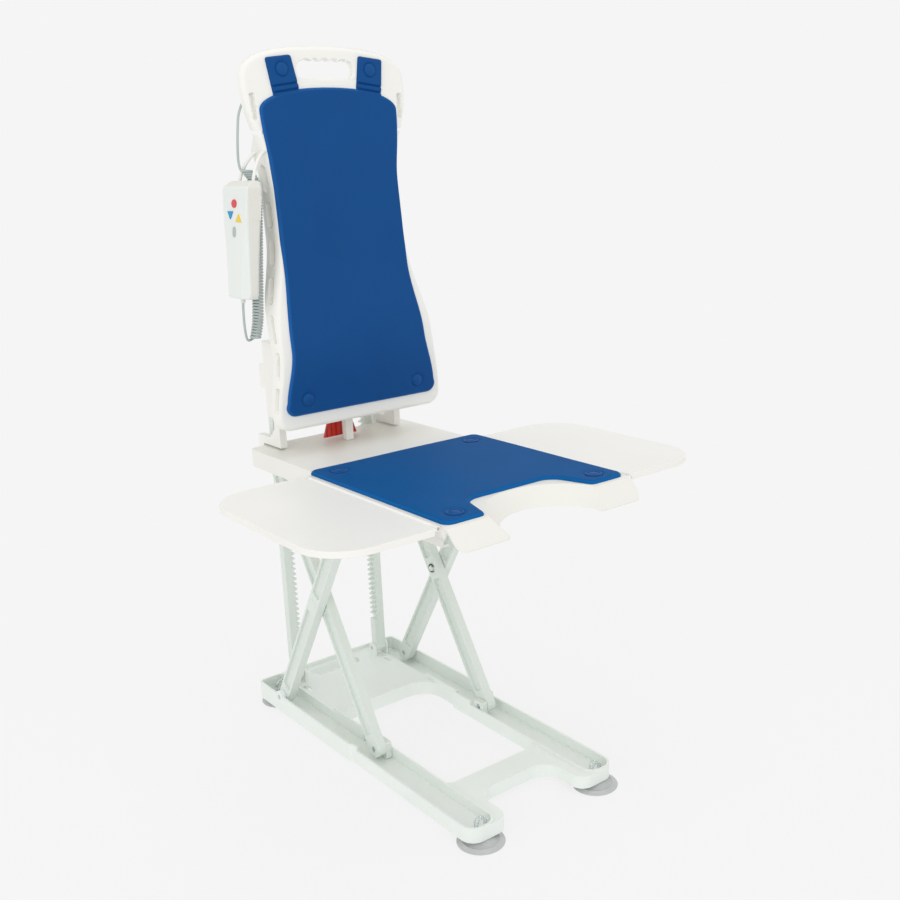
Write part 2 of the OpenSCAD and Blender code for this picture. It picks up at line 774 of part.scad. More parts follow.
// slice between two surfaces that lie behind the front face
module back_slice(front, rear, follow_rim) {
    hs = [for (h = [-5:22:back_height + 16]) h];
    n = len(hs);
    plate_x(-200, 200) polygon(concat(
        [for (h = hs) [face_y(h) + front, back_z + h]],
        [for (k = [n - 1:-1:0]) [follow_rim ? rim_y(hs[k]) + rear : face_y(hs[k]) + rear, back_z + hs[k]]]));
}

// hole for the hand near the top with finger grooves along its upper edge
handle_low = back_height - 48;
handle_high = back_height - 22;
module handle_outline(i) {
    slab(-51 - i, back_z + handle_low - i, 51 + i, back_z + handle_high + i, 11 + i);
    for (x = [-33, -16.5, 0, 16.5, 33]) translate([x, back_z + handle_high - 5]) circle(8 + i);
}

screw_x = 100;
screw_sink = 3.3;
screw_low = back_z + 26;
screw_high = back_z + 112;
module back_shell() {
    color("#EDEAE2") difference() {
        union() {
            difference() {
                intersection() {
                    plate_y(back_y - 83, back_y + 167) back_outline(0);
                    back_slice(0, 0, true);
                }
                intersection() {
                    plate_y(back_y - 83, back_y + 167) back_outline(back_wall);
                    back_slice(back_wall, 20, true);
                }
            }
            intersection() {
                plate_y(back_y - 83, back_y + 167) handle_outline(3.5);
                back_slice(0, -0.5, true);
            }
            pair() for (z = [screw_low, screw_high])
                rod_y(screw_x, face_y(z - back_z) + 1.2, housing_front_y, z, 6.6);
        }
        plate_y(back_y - 83, back_y + 167) handle_outline(0);
        // slots along the sides and the notch under the top part
        pair() {
            for (h = [70, 125, 185, 245, 305, 365]) translate([90, face_y(h) + 14, back_z + h - 18])
                rotate([0, 90, 0]) rotate([0, 0, 90]) linear_extrude(80) slab(0, -18 - 18, 8, 0, 3.9);
            block([back_half(notch_h) - 16, back_y - 13, back_z + notch_h],
                  [200, back_y + 127, back_z + notch_h + 5]);
            for (z = [screw_low, screw_high]) {
                rod_y(screw_x, back_y - 33, back_y + 67, z, 2);
                rod_y(screw_x, back_y - 43, face_y(z - back_z) + screw_sink, z, 4.5);
            }
            block([100, handset_y - 14, hook_z + 10.2], [150, handset_y + 14, hook_z + 28]);
            for (p = cover_studs_at()) at_stud(p) translate([0, 0, -20]) cylinder(r = 4, h = 40);
        }
    }
}

// stud places on the right-hand half: x and height above the shell bottom
function cover_studs_at() = [[105, 48], [79, back_height - 35]];
function slope(h) = atan((face_y(h + 11) - face_y(h - 11)) / 22);
module at_stud(p) {
    translate([p[0], face_y(p[1]), back_z + p[1]]) rotate([90 - slope(p[1]), 0, 0]) children();
}

// cover outline, hourglass shaped, with two straps over the top
cover_top = back_height - 91;
cover_half = 124;
cover_stations = [[40, 141], [130, 126], [250, 115], [370, 114], [cover_top, cover_half]];
function cover_crown(t, i) =
    let (a = 90 * t, across = pow(max(cos(a), 0), 0.62), up = pow(max(sin(a), 0), 0.62))
    [(cover_half - i) * across, cover_top + (29 - i) * up];
function cover_side(i) = concat(
    [for (a = [0:18:72]) [143 - i - 16 + 16 * sin(a), 40 + i - 16 * cos(a)]],
    [for (h = [48:22:cover_top - 2]) [station(cover_stations, h) - i, h]],
    [for (t = [0:0.1:1]) cover_crown(t, i)]);
function strap(i) = [
    [58 + i, cover_top + 10], [97 - i, cover_top + 6],
    [104 - i, back_height - 20 - i], [62 + i, back_height - 15 - i]
];
module cover_outline(i) {
    side = cover_side(i);
    n = len(side);
    polygon(concat(
        [for (p = side) [p[0], back_z + p[1]]],
        [for (k = [n - 2:-1:0]) [-side[k][0], back_z + side[k][1]]]));
    for (s = [-1, 1]) polygon([for (p = strap(i)) [s * p[0], back_z + p[1]]]);
}

module back_cover() {
    color("#0F4F97") difference() {
        union() {
            intersection() {
                plate_y(back_y - 83, back_y + 167) cover_outline(0);
                back_slice(-cover_thick + 1.2, 0, false);
            }
            intersection() {
                plate_y(back_y - 83, back_y + 167) cover_outline(1.4);
                back_slice(-cover_thick, -1, false);
            }
        }
        pair() for (p = cover_studs_at()) at_stud(p) translate([0, 0, -20]) cylinder(r = 4, h = 40);
        // two grooves across each strap where it folds
        pair() for (h = [back_height - 61, back_height - 54])
            translate([77, face_y(h) - cover_thick, back_z + h]) rotate([0, 5, 0])
                translate([-30, -0.6, 0]) cube([60, 1.8, 2]);
    }
}

module cover_studs() {
    color("#0C4485") pair() for (p = cover_studs_at())
        at_stud(p) translate([0, 0, cover_thick + 0.2]) stud(cover_thick + back_wall + 2);
}

// arms that reach from the drive housing over the seat edge to the recline pins
module recline_arms() {
    color("#EDEAE2") pair() difference() {
        union() {
            rod_x(arm_x0, arm_x1, rack_y, recline_z, knuckle);
            plate_x(arm_x0, arm_x1) union() {
                translate([rack_y - 8.5, recline_z]) square([17.5, deck_z + 16 - recline_z]);
                translate([arm_y, deck_z + 3]) square([rack_y + 9 - arm_y, 13]);
                translate([arm_y, deck_z + 3]) square([17, housing_low_z - deck_z - 3]);
                polygon([[arm_y + 16, deck_z + 15], [arm_y + 36, deck_z + 15], [arm_y + 16, deck_z + 34]]);
            }
        }
        rod_x(arm_x0 - 1, arm_x1 + 1, rack_y, recline_z, 3.5 + running_fit);
        translate([arm_mid, arm_y + 8.5, deck_z]) cylinder(r = 2.5, h = 80);
        translate([arm_mid, arm_y + 8.5, deck_z]) cylinder(r = 4.6, h = 30);
    }
}

// one screw up through each arm into the housing floor
module arm_screws() {
    color("#8D9194") pair() translate([arm_mid, arm_y + 8.5, 0]) {
        translate([0, 0, deck_z + 25.5]) cylinder(r = 4.4, h = 4.5);
        translate([0, 0, deck_z + 26]) cylinder(r = 2.5, h = housing_low_z + 8 - deck_z - 26);
    }
}

// post that lets the upright backrest bear on the deck
module back_stop() {
    color("#EDEAE2") block([-7, lever_y - 33, deck_z + slide_gap], [7, lever_y - 19, housing_low_z]);
}

// plan of the drive housing body, shrunk by an inset
module housing_plan(i) {
    slab(-housing_half + i, housing_front_y + i, housing_half - i, housing_rear_y - i, 14 - i);
}

// body of the housing, hollow
housing_wall = 3;
module housing_box() {
    height = housing_high_z - housing_low_z;
    difference() {
        translate([0, 0, housing_low_z]) linear_extrude(height) housing_plan(0);
        translate([0, 0, housing_low_z + housing_wall]) linear_extrude(height - 2 * housing_wall)
            housing_plan(housing_wall);
    }
}

// gear case behind the body with the motor dome on top, open at the sides to the racks
module gear_case() {
    half = rack_in - 2;
    difference() {
        union() {
            block([-half, housing_rear_y - 1, gear_z - 48], [half, gear_back_y, gear_z + 52]);
            translate([0, rack_y, gear_z + 50]) cylinder(r = motor_radius + 3.5, h = 82);
        }
        block([-half + housing_wall, housing_rear_y, gear_z - 45],
              [half - housing_wall, gear_back_y - housing_wall, gear_z + 49]);
        translate([0, rack_y, gear_z + 40]) cylinder(r = motor_radius + 0.1, h = 89);
        pair() block([half - 6, rack_y - 7.5, gear_z - 22], [half + 4, rack_y + 7.5, gear_z + 22]);
    }
}

// bosses for the screws, guides outside the racks, ears for the lever and posts for the board
module housing_fittings() {
    pair() {
        for (z = [screw_low, screw_high])
            rod_y(screw_x, housing_front_y + 1, housing_front_y + 11, z, 5.5);
        block([rack_out + slide_gap + 0.2, housing_rear_y - 1, gear_z - 20],
              [rack_out + 7, rack_y + rack_half + 4, gear_z + 20]);
        translate([arm_mid, arm_y + 8.5, housing_low_z + 1]) cylinder(r = 4.4, h = 9);
        block([22, lever_y - 6, lever_z - 6], [26, lever_y + 6, housing_low_z + 1]);
    }
    for (x = [-88, -32], z = [gear_z - 30, gear_z + 30])
        rod_y(x, housing_front_y + 1, housing_front_y + 16, z, 4);
}

module drive_housing() {
    color("#E4E6E0") difference() {
        union() {
            housing_box();
            gear_case();
            housing_fittings();
        }
        pair() {
            for (z = [screw_low, screw_high])
                rod_y(screw_x, housing_front_y - 1, housing_front_y + 10, z, 2);
            translate([arm_mid, arm_y + 8.5, housing_low_z - 1]) cylinder(r = 2.5, h = 9);
        }
        rod_x(-30, 30, lever_y, lever_z, 2);
        translate([socket_x, socket_y, housing_high_z - 10]) cylinder(r = 5, h = 20);
    }
}

// screws from the front of the shell into the housing bosses
module housing_screws() {
    color("#8D9194") pair() for (z = [screw_low, screw_high]) {
        y = face_y(z - back_z) + screw_sink;
        rod_y(screw_x, y - 2, y, z, 4.4);
        rod_y(screw_x, y - 1, housing_front_y + 10, z, 2);
    }
}

module motor() {
    color("#5A5F63") translate([0, rack_y, 0]) {
        translate([0, 0, gear_z + 58]) cylinder(r = motor_radius, h = 71);
        translate([0, 0, gear_z + 51]) cylinder(r = 9, h = 8);
    }
}

// worm between the two gears, on the motor shaft
module worm() {
    color("#B08D57") translate([0, rack_y, 0]) {
        translate([0, 0, gear_z - 40]) cylinder(r = 4, h = 91);
        for (i = [-5:5]) translate([0, 0, gear_z + i * 5 - 1]) cylinder(r = 8.6, h = 2);
        translate([0, 0, gear_z - 30]) cylinder(r = 6.4, h = 60);
    }
}

// right-hand gear between the worm and the rack
module gear_body() {
    count = 22;
    root = gear_tip - 5;
    difference() {
        plate_y(rack_y - 6, rack_y + 6) translate([gear_x, gear_z]) union() {
            circle(root);
            for (i = [0:count - 1]) rotate(i * 360 / count)
                polygon([[root - 1, -2.9], [gear_tip - 0.4, -1.4], [gear_tip - 0.4, 1.4], [root - 1, 2.9]]);
        }
        rod_y(gear_x, rack_y - 10, rack_y + 10, gear_z, 4 + running_fit);
        for (s = [-7, 3]) plate_y(rack_y + s, rack_y + s + 4) translate([gear_x, gear_z]) difference() {
            circle(24);
            circle(9);
        }
    }
}

module right_gear() {
    color("#E8E2CF") gear_body();
}

module left_gear() {
    color("#E8E2CF") mirror([1, 0, 0]) gear_body();
}

module gear_axles() {
    color("#C8CBCD") pair() rod_y(gear_x, housing_rear_y, gear_back_y - 3, gear_z, 4);
}

module control_board() {
    y = housing_front_y + 16;
    color("#2E6B4F") block([-96, y, gear_z - 38], [-24, y + 1.6, gear_z + 38]);
    color("#3A3D40") {
        block([-84, y + 1.6, gear_z - 20], [-62, y + 14, gear_z + 2]);
        block([-54, y + 1.6, gear_z - 20], [-36, y + 12, gear_z - 2]);
    }
    color("#8C9296") rod_y(-48, y + 1.6, y + 24, gear_z + 18, 7);
}

module cord_socket() {
    color("#9AA3A3") translate([socket_x, socket_y, housing_high_z]) {
        translate([0, 0, -8]) cylinder(r = 5, h = 9);
        cylinder(r = 7, h = 6);
        translate([0, 0, 5]) cylinder(r = 4.5, h = 7);
    }
}

// red release lever that hangs under the drive housing
module release_lever() {
    color("#D8382C") difference() {
        union() {
            rod_x(-21.6, 21.6, lever_y, lever_z, 4);
            plate_y(lever_y - 2.5, lever_y + 2.5)
                polygon([[-19, lever_z], [-32, deck_z + 4], [32, deck_z + 4], [19, lever_z]]);
        }
        rod_x(-40, 40, lever_y, lever_z, 2 + running_fit);
    }
}

module lever_pin() {
    color("#C8CBCD") rod_x(-26, 26, lever_y, lever_z, 2);
}

// plan of the handset case, shrunk by an inset
module case_plan(i) {
    half = handset_width / 2 - i;
    slab(handset_out_x + i, handset_y - half, handset_in_x - i, handset_y + half, 9 - i);
}

// hollow case with softened ends
module case_body() {
    difference() {
        union() {
            translate([0, 0, handset_low_z + 3]) linear_extrude(handset_height - 6) case_plan(0);
            translate([0, 0, handset_low_z]) linear_extrude(handset_height) case_plan(3);
            translate([0, 0, handset_low_z + 1]) linear_extrude(handset_height - 2) case_plan(1.2);
        }
        translate([0, 0, handset_low_z + 2.6]) linear_extrude(handset_height - 5.2) case_plan(2.6);
    }
}

// places of the controls on the outer face: y and z
stop_at = [handset_y + 2, handset_high_z - 30];
down_at = [handset_y + 13, handset_high_z - 49];
up_at = [handset_y - 13, handset_high_z - 51];
light_at = [handset_y + 2, handset_high_z - 72];
button_stem = 3;

module triangle(r, up) {
    s = up ? 1 : -1;
    polygon([[-0.9 * r, -s * 0.55 * r], [0.9 * r, -s * 0.55 * r], [0, s * 0.95 * r]]);
}

module handset_front() {
    hang() color("#E9ECE8") difference() {
        intersection() {
            case_body();
            block([handset_out_x - 1, 0, 0], [handset_mid_x, 400, 2000]);
        }
        rod_x(handset_out_x - 1, handset_out_x + 5, stop_at[0], stop_at[1], 5.5 + slide_gap);
        plate_x(handset_out_x - 1, handset_out_x + 5) {
            translate(down_at) triangle(7.6 + slide_gap * 2, false);
            translate(up_at) triangle(7.6 + slide_gap * 2, true);
            slab(light_at[0] - 4, light_at[1] - 8, light_at[0] + 4, light_at[1] + 8, 3.9);
        }
        translate([handset_mid_x, handset_y, handset_low_z - 1]) cylinder(r = 4.5, h = 8);
    }
}

module handset_back() {
    hang() color("#E3E7E3") difference() {
        intersection() {
            case_body();
            block([handset_mid_x, 0, 0], [handset_in_x + 1, 400, 2000]);
        }
        translate([handset_mid_x, handset_y, handset_low_z - 1]) cylinder(r = 4.5, h = 8);
    }
}

// each button stands a little proud and carries a stem toward the board
button_out_x = handset_out_x - 1.4;
button_in_x = button_out_x + 5;
module button_stem_at(place) {
    rod_x(button_in_x - 0.5, button_in_x + button_stem, place[0], place[1], 2);
}

module stop_button() {
    hang() color("#E0454A") {
        rod_x(button_out_x, button_in_x, stop_at[0], stop_at[1], 5.5);
        button_stem_at(stop_at);
    }
}

module down_button() {
    hang() color("#0F90C8") {
        plate_x(button_out_x, button_in_x) translate(down_at) triangle(7.6, false);
        button_stem_at(down_at);
    }
}

module up_button() {
    hang() color("#F2D14A") {
        plate_x(button_out_x, button_in_x) translate(up_at) triangle(7.6, true);
        button_stem_at(up_at);
    }
}

module indicator_light() {
    hang() color("#B3BDB5") plate_x(handset_out_x - 0.5, handset_out_x + 2.6)
        slab(light_at[0] - 4, light_at[1] - 8, light_at[0] + 4, light_at[1] + 8, 3.9);
}

module handset_board() {
    x = handset_out_x + 9.2;
    half = handset_width / 2 - 2.6;
    hang() color("#2E6B4F") block([x, handset_y - half, handset_high_z - 100],
                           [x + 1.6, handset_y + half, handset_high_z - 14]);
}

// two cells that stand on the case floor
module handset_battery() {
    hang() color("#3F6FA8") for (y = [-12, 12])
        translate([handset_mid_x, handset_y + y, handset_low_z + 2.6]) cylinder(r = 9, h = 65);
}

// two hooked legs from the case top into the opening in the shell side
module handset_hook() {
    hang() color("#DADDD8") {
        for (y = [handset_y - 8, handset_y + 8]) plate_y(y - 2.5, y + 2.5) union() {
            translate([hook_x0, handset_high_z]) square([5, hook_z - handset_high_z]);
            translate([hook_x0 + hook_mean + 2.5, hook_z]) difference() {
                circle(hook_mean + 2.5);
                circle(hook_mean - 2.5);
                translate([-60, -120]) square([120, 120]);
            }
            translate([hook_x1, hook_z - 12]) square([5, 12]);
        }
        block([hook_x0, handset_y - 10.5, handset_high_z],
              [hook_x0 + 5, handset_y + 10.5, handset_high_z + 6]);
    }
}

module cord_gland() {
    hang() color("#9AA3A3") translate([handset_mid_x, handset_y, handset_low_z]) {
        translate([0, 0, -12]) cylinder(r1 = 3.6, r2 = 5.5, h = 12);
        cylinder(r = 4.5, h = 2.6);
    }
}

// points between route points, by a smooth curve through all of them
function curve(a, b, c, d, t) =
    0.5 * (2 * b + (c - a) * t + (2 * a - 5 * b + 4 * c - d) * t * t + (3 * b - a - 3 * c + d) * t * t * t);
function along(p, steps) = concat(
    [for (i = [0:len(p) - 2], s = [0:steps - 1])
        curve(p[max(i - 1, 0)], p[i], p[i + 1], p[min(i + 2, len(p) - 1)], s / steps)],
    [p[len(p) - 1]]);
coil_pitch = (coil_high_z - coil_low_z) / coil_turns;
coil_points = [for (k = [0:8 * coil_turns])
    let (t = k / 8, grow = min(1, t, coil_turns - t), r = coil_mean * smooth(grow))
    [coil_x - coil_drift * t / coil_turns + r * cos(360 * t), coil_y + r * sin(360 * t),
     coil_high_z - coil_pitch * t]];
cord_path = concat(along(route_up, 4), coil_points, along(route_down, 4));

// tube round a path: each ring carries its direction on from the ring before
function unit(v) = v / norm(v);
function heading(p, i) = unit(p[min(i + 1, len(p) - 1)] - p[max(i - 1, 0)]);
function carry(n, t) = unit(n - t * (n * t));
module tube(p, r, sides) {
    count = len(p);
    sides_of = [for (i = 0, n = carry([0, 1, 0], heading(p, 0)); i < count;
                     i = i + 1, n = carry(n, heading(p, min(i, count - 1)))) n];
    points = [for (i = [0:count - 1], s = [0:sides - 1])
        let (t = heading(p, i), u = sides_of[i], v = cross(t, u), a = 360 * s / sides)
        p[i] + r * (u * cos(a) + v * sin(a))];
    faces = concat(
        [[for (s = [0:sides - 1]) s]],
        [for (i = [0:count - 2], s = [0:sides - 1])
            let (a = i * sides + s, b = i * sides + (s + 1) % sides, c = a + sides, d = b + sides)
            each [[a, c, b], [b, c, d]]],
        [[for (s = [sides - 1:-1:0]) (count - 1) * sides + s]]);
    polyhedron(points, faces, convexity = 10);
}

module handset_cord() {
    echo(least_gap_between_curls = coil_pitch - 2 * cord_radius, curls = coil_turns);
    color("#B4C0BF") tube(cord_path, cord_radius, 6);
}

base_frame();
suction_cups();
pull_tabs();
base_pivot_pins();
rack_axles();
left_rack();
right_rack();
left_outer_leg();
right_outer_leg();
crossing_pins();
crossing_clips();
upper_shoe_pins();
upper_shoes();
left_inner_leg();
right_inner_leg();
lower_shoe_pins();
lower_shoes();
seat_shell();
seat_pad();
seat_studs();
seat_pivot_pins();
flap_pins();
recline_pins();
left_flap();
right_flap();
back_shell();
back_cover();
cover_studs();
recline_arms();
arm_screws();
back_stop();
drive_housing();
housing_screws();
motor();
worm();
left_gear();
right_gear();
gear_axles();
control_board();
cord_socket();
release_lever();
lever_pin();
handset_front();
handset_back();
handset_hook();
handset_board();
handset_battery();
stop_button();
down_button();
up_button();
indicator_light();
cord_gland();
handset_cord();
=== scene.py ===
import math

import bmesh
import bpy
import numpy as np
from mathutils import Matrix, Vector


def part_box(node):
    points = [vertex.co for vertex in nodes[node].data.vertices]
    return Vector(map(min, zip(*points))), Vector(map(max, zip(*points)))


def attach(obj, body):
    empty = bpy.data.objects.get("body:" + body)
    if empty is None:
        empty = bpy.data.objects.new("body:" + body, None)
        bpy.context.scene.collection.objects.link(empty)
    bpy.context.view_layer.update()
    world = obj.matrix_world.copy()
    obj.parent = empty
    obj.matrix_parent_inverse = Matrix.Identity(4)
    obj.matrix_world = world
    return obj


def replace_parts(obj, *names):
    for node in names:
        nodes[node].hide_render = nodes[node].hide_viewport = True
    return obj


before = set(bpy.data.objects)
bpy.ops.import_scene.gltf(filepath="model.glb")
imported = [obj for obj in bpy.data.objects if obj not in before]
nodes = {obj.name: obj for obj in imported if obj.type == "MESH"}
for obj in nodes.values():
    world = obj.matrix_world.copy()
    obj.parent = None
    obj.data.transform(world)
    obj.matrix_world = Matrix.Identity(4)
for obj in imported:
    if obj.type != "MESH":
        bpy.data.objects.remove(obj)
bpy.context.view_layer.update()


# The studio: a wide pale floor under an even white sky, with one large soft
# lamp beside the camera, one to the sitter's right and one overhead.
def linear(code):
    """An sRGB hex colour as linear RGBA, by the sRGB curve."""
    srgb = np.array([int(code[i:i + 2], 16) for i in (1, 3, 5)]) / 255
    curve = np.where(srgb <= 0.04045, srgb / 12.92, ((srgb + 0.055) / 1.055) ** 2.4)
    return (*curve.tolist(), 1.0)


def add(tree, kind, inputs=(), links=(), **settings):
    """Adds a node, sets its plain values and links other nodes' outputs to its inputs."""
    made = tree.nodes.new(kind)
    for name, value in settings.items():
        setattr(made, name, value)
    for name, value in dict(inputs).items():
        made.inputs[name].default_value = value
    for name, output in dict(links).items():
        tree.links.new(output, made.inputs[name])
    return made


def new_material(name):
    """An empty node material with its principled shader and the Object coordinates."""
    material = bpy.data.materials.new(name)
    material.use_nodes = True
    tree = material.node_tree
    shader = tree.nodes["Principled BSDF"]
    place = add(tree, "ShaderNodeTexCoord").outputs["Object"]
    return material, tree, shader, place


def grid_faces(rows, columns, wrap=False):
    """Quads of a grid of points, row after row; wrap joins the last column to the first."""
    first = np.arange(rows * columns).reshape(rows, columns)
    if wrap:
        first = np.hstack([first, first[:, :1]])
    return np.stack([first[:-1, :-1], first[:-1, 1:], first[1:, 1:], first[1:, :-1]], -1).reshape(-1, 4)


def new_piece(name, points, faces, material, crease=40):
    """A mesh at the origin from points in mm: doubles merged, faces outward, edges past the crease angle kept."""
    mesh = bpy.data.meshes.new(name)
    mesh.from_pydata((np.asarray(points, float).reshape(-1, 3) * 0.001).tolist(), [], [list(f) for f in faces])
    work = bmesh.new()
    work.from_mesh(mesh)
    bmesh.ops.remove_doubles(work, verts=work.verts, dist=2e-6)
    bmesh.ops.recalc_face_normals(work, faces=work.faces)
    work.to_mesh(mesh)
    work.free()
    mesh.polygons.foreach_set("use_smooth", np.ones(len(mesh.polygons), bool))
    mesh.set_sharp_from_angle(angle=math.radians(crease))
    mesh.materials.append(material)
    piece = bpy.data.objects.new(name, mesh)
    bpy.context.scene.collection.objects.link(piece)
    return piece


# no shine: the floor reads as an even white field that takes only soft shadows
paper, tree, shader, place = new_material("matt white paper")
shader.inputs["Base Color"].default_value = linear("#F9F9F9")
shader.inputs["Roughness"].default_value = 0.95
shader.inputs["Specular IOR Level"].default_value = 0.0
# paper near the lift, melting into the even white of the sky farther out
out_from = add(tree, "ShaderNodeVectorMath", {}, {0: place}, operation="LENGTH")
far = add(tree, "ShaderNodeMapRange", {"From Min": 0.3, "From Max": 1.5, "To Min": 0.8},
          {"Value": out_from.outputs["Value"]}, interpolation_type="SMOOTHSTEP")
glow = add(tree, "ShaderNodeEmission", {"Color": linear("#F5F5F5")})
melt = add(tree, "ShaderNodeMixShader", {}, {"Fac": far.outputs["Result"]})
tree.links.new(shader.outputs["BSDF"], melt.inputs[1])
tree.links.new(glow.outputs["Emission"], melt.inputs[2])
tree.links.new(melt.outputs["Shader"], tree.nodes["Material Output"].inputs["Surface"])
FLOOR_HALF = 40000
floor_corners = FLOOR_HALF * np.array([(-1, -1, 0), (1, -1, 0), (1, 1, 0), (-1, 1, 0)])
floor = new_piece("floor", floor_corners, [(0, 1, 2, 3)], paper)

world = bpy.data.worlds.new("white sky")
bpy.context.scene.world = world
world.use_nodes = True
sky = world.node_tree
seen = sky.nodes["Background"]
seen.inputs["Color"].default_value = linear("#F5F5F5")
lit = add(sky, "ShaderNodeBackground", {"Color": linear("#F5F5F5"), "Strength": 0.95})
split = add(sky, "ShaderNodeMixShader", {}, {"Fac": add(sky, "ShaderNodeLightPath").outputs["Is Camera Ray"]})
sky.links.new(lit.outputs["Background"], split.inputs[1])
sky.links.new(seen.outputs["Background"], split.inputs[2])
sky.links.new(split.outputs["Shader"], sky.nodes["World Output"].inputs["Surface"])
bpy.context.scene.view_settings.view_transform = "Standard"


def soft_lamp(name, place, aim, size, power):
    """A square area lamp at a place, turned toward its aim."""
    lamp = bpy.data.lights.new(name, "AREA")
    lamp.size = size
    lamp.energy = power
    holder = bpy.data.objects.new(name, lamp)
    holder.location = place
    holder.rotation_euler = (Vector(aim) - Vector(place)).to_track_quat("-Z", "Y").to_euler()
    bpy.context.scene.collection.objects.link(holder)


soft_lamp("key lamp", (-0.9, -2.4, 1.4), (0, 0, 0.6), 1.8, 6)
soft_lamp("side lamp", (-2.6, -1.0, 1.5), (0, 0, 0.5), 1.6, 9)
soft_lamp("top lamp", (0.2, -0.2, 3.0), (0, 0, 0.5), 2.0, 7)

# The camera, fitted to the photograph from points that mirror each other on
# the lift; it stands ahead of the sitter's right and looks slightly down.
CAMERA_AT = Vector((-0.9521, -1.3701, 0.9308))
YAW, PITCH, ROLL = (math.radians(a) for a in (-36.8, 14.6, -2.5))
FOCAL_PIXELS, PHOTO_PIXELS, SENSOR = 1108, 900, 36
ahead = Vector((-math.sin(YAW) * math.cos(PITCH), math.cos(YAW) * math.cos(PITCH), -math.sin(PITCH)))
right = Vector((math.cos(YAW), math.sin(YAW), 0))
up = right.cross(ahead)
across = right * math.cos(ROLL) + up * math.sin(ROLL)
upward = up * math.cos(ROLL) - right * math.sin(ROLL)
lens = bpy.data.cameras.new("camera")
lens.sensor_width = SENSOR
lens.lens = SENSOR * FOCAL_PIXELS / PHOTO_PIXELS
camera = bpy.data.objects.new("camera", lens)
camera.matrix_world = Matrix((across, upward, -ahead)).transposed().to_4x4()
camera.location = CAMERA_AT
bpy.context.scene.collection.objects.link(camera)
bpy.context.scene.camera = camera


# The base frame: one large moulding in pale grey-green polypropylene, with a
# fine spark-eroded skin and softly rounded edges.
def moulded(name, light, dark, grain_mm=1.1, roughness=0.42, specular=0.4):
    """Moulded plastic: two close tints in clouds of 111 mm over a skin of small pebbles.

    The pebbles are drawn near 1 mm, coarser than the real 0.2 mm, so that they show.
    """
    material, tree, shader, place = new_material(name)
    clouds = add(tree, "ShaderNodeTexNoise", {"Scale": 1000 / 111, "Detail": 3}, {"Vector": place})
    tint = add(tree, "ShaderNodeMix", {"A": linear(light), "B": linear(dark)}, {"Factor": clouds.outputs["Fac"]},
               data_type="RGBA")
    tree.links.new(tint.outputs["Result"], shader.inputs["Base Color"])
    pebbles = add(tree, "ShaderNodeTexNoise", {"Scale": 1000 / grain_mm, "Detail": 2}, {"Vector": place})
    skin = add(tree, "ShaderNodeBump", {"Strength": 0.12, "Distance": 0.0003}, {"Height": pebbles.outputs["Fac"]})
    tree.links.new(skin.outputs["Normal"], shader.inputs["Normal"])
    rough = add(tree, "ShaderNodeMapRange", {"To Min": roughness - 0.06, "To Max": roughness + 0.06},
                {"Value": clouds.outputs["Fac"]})
    tree.links.new(rough.outputs["Result"], shader.inputs["Roughness"])
    shader.inputs["Specular IOR Level"].default_value = specular
    return material


def round_edges(names, width, angle=32, segments=3):
    """Rounds CAD edges sharper than the angle: doubles merged, flat triangles joined, edges bevelled."""
    for name in names:
        stack = nodes[name].modifiers
        stack.new("merge doubles", "WELD").merge_threshold = 1e-5
        flat = stack.new("join flat faces", "DECIMATE")
        flat.decimate_type = "DISSOLVE"
        flat.angle_limit = math.radians(0.4)
        soft = stack.new("round edges", "BEVEL")
        soft.width = width
        soft.segments = segments
        soft.limit_method = "ANGLE"
        soft.angle_limit = math.radians(angle)
        soft.miter_outer = "MITER_ARC"
        shade = stack.new("even shading", "WEIGHTED_NORMAL")
        shade.keep_sharp = True


def dress(material, names):
    """Gives CAD nodes a material in place of their plain colour."""
    for name in names:
        nodes[name].data.materials.clear()
        nodes[name].data.materials.append(material)


# a satin pale green, faintly cloudy, whose skin spreads the highlights
base_plastic = moulded("pale green polypropylene, moulded", "#EEF3EF", "#E8EEE8")
dress(base_plastic, ["base_frame"])
round_edges(["base_frame"], 0.002)


# The four suction cups: soft grey PVC, moulded as thin discs with a bead near
# the edge; each is pushed up into a hole in the base by its stem.
def turned(profile, steps=72):
    """A profile of (radius, height) in mm turned about Z: x = r cos a, y = r sin a, z = h."""
    radius, height = np.asarray(profile, float).T[:, :, None]
    angle = np.linspace(0, 2 * math.pi, steps, endpoint=False)
    points = np.stack([radius * np.cos(angle), radius * np.sin(angle), height + 0 * angle], -1)
    return points.reshape(-1, 3), grid_faces(len(profile), steps, True)


def copies(points, faces, places):
    """One small mesh set down at several places."""
    places = np.asarray(places, float)
    many = (points[None] + places[:, None]).reshape(-1, 3)
    shift = len(points) * np.arange(len(places))
    return many, (faces[None] + shift[:, None, None]).reshape(-1, faces.shape[1])


cup_low, cup_high = (np.array(corner) * 1000 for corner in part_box("suction_cups"))
CUP_RADIUS = 35
CUP_X = cup_high[0] - CUP_RADIUS
CUP_FRONT, CUP_REAR = cup_low[1] + CUP_RADIUS, cup_high[1] - CUP_RADIUS
CUP_PLACES = [(side * CUP_X, y, 0) for side in (-1, 1) for y in (CUP_FRONT, CUP_REAR)]
CUP_PROFILE = [(0, 3.4), (18, 2.6), (31, 0.05), (34, 0), (34.7, 0.3), (35, 0.9), (34.6, 1.5), (33.5, 1.9), (29, 3.3),
               (28.4, 3.9), (27.6, 4.3), (26.6, 4.2), (25.8, 3.9), (20, 5.4), (14, 8.0), (11, 9.6), (7, 9.9),
               (7, 16.6), (6.4, 17.2), (0, 17.4)]
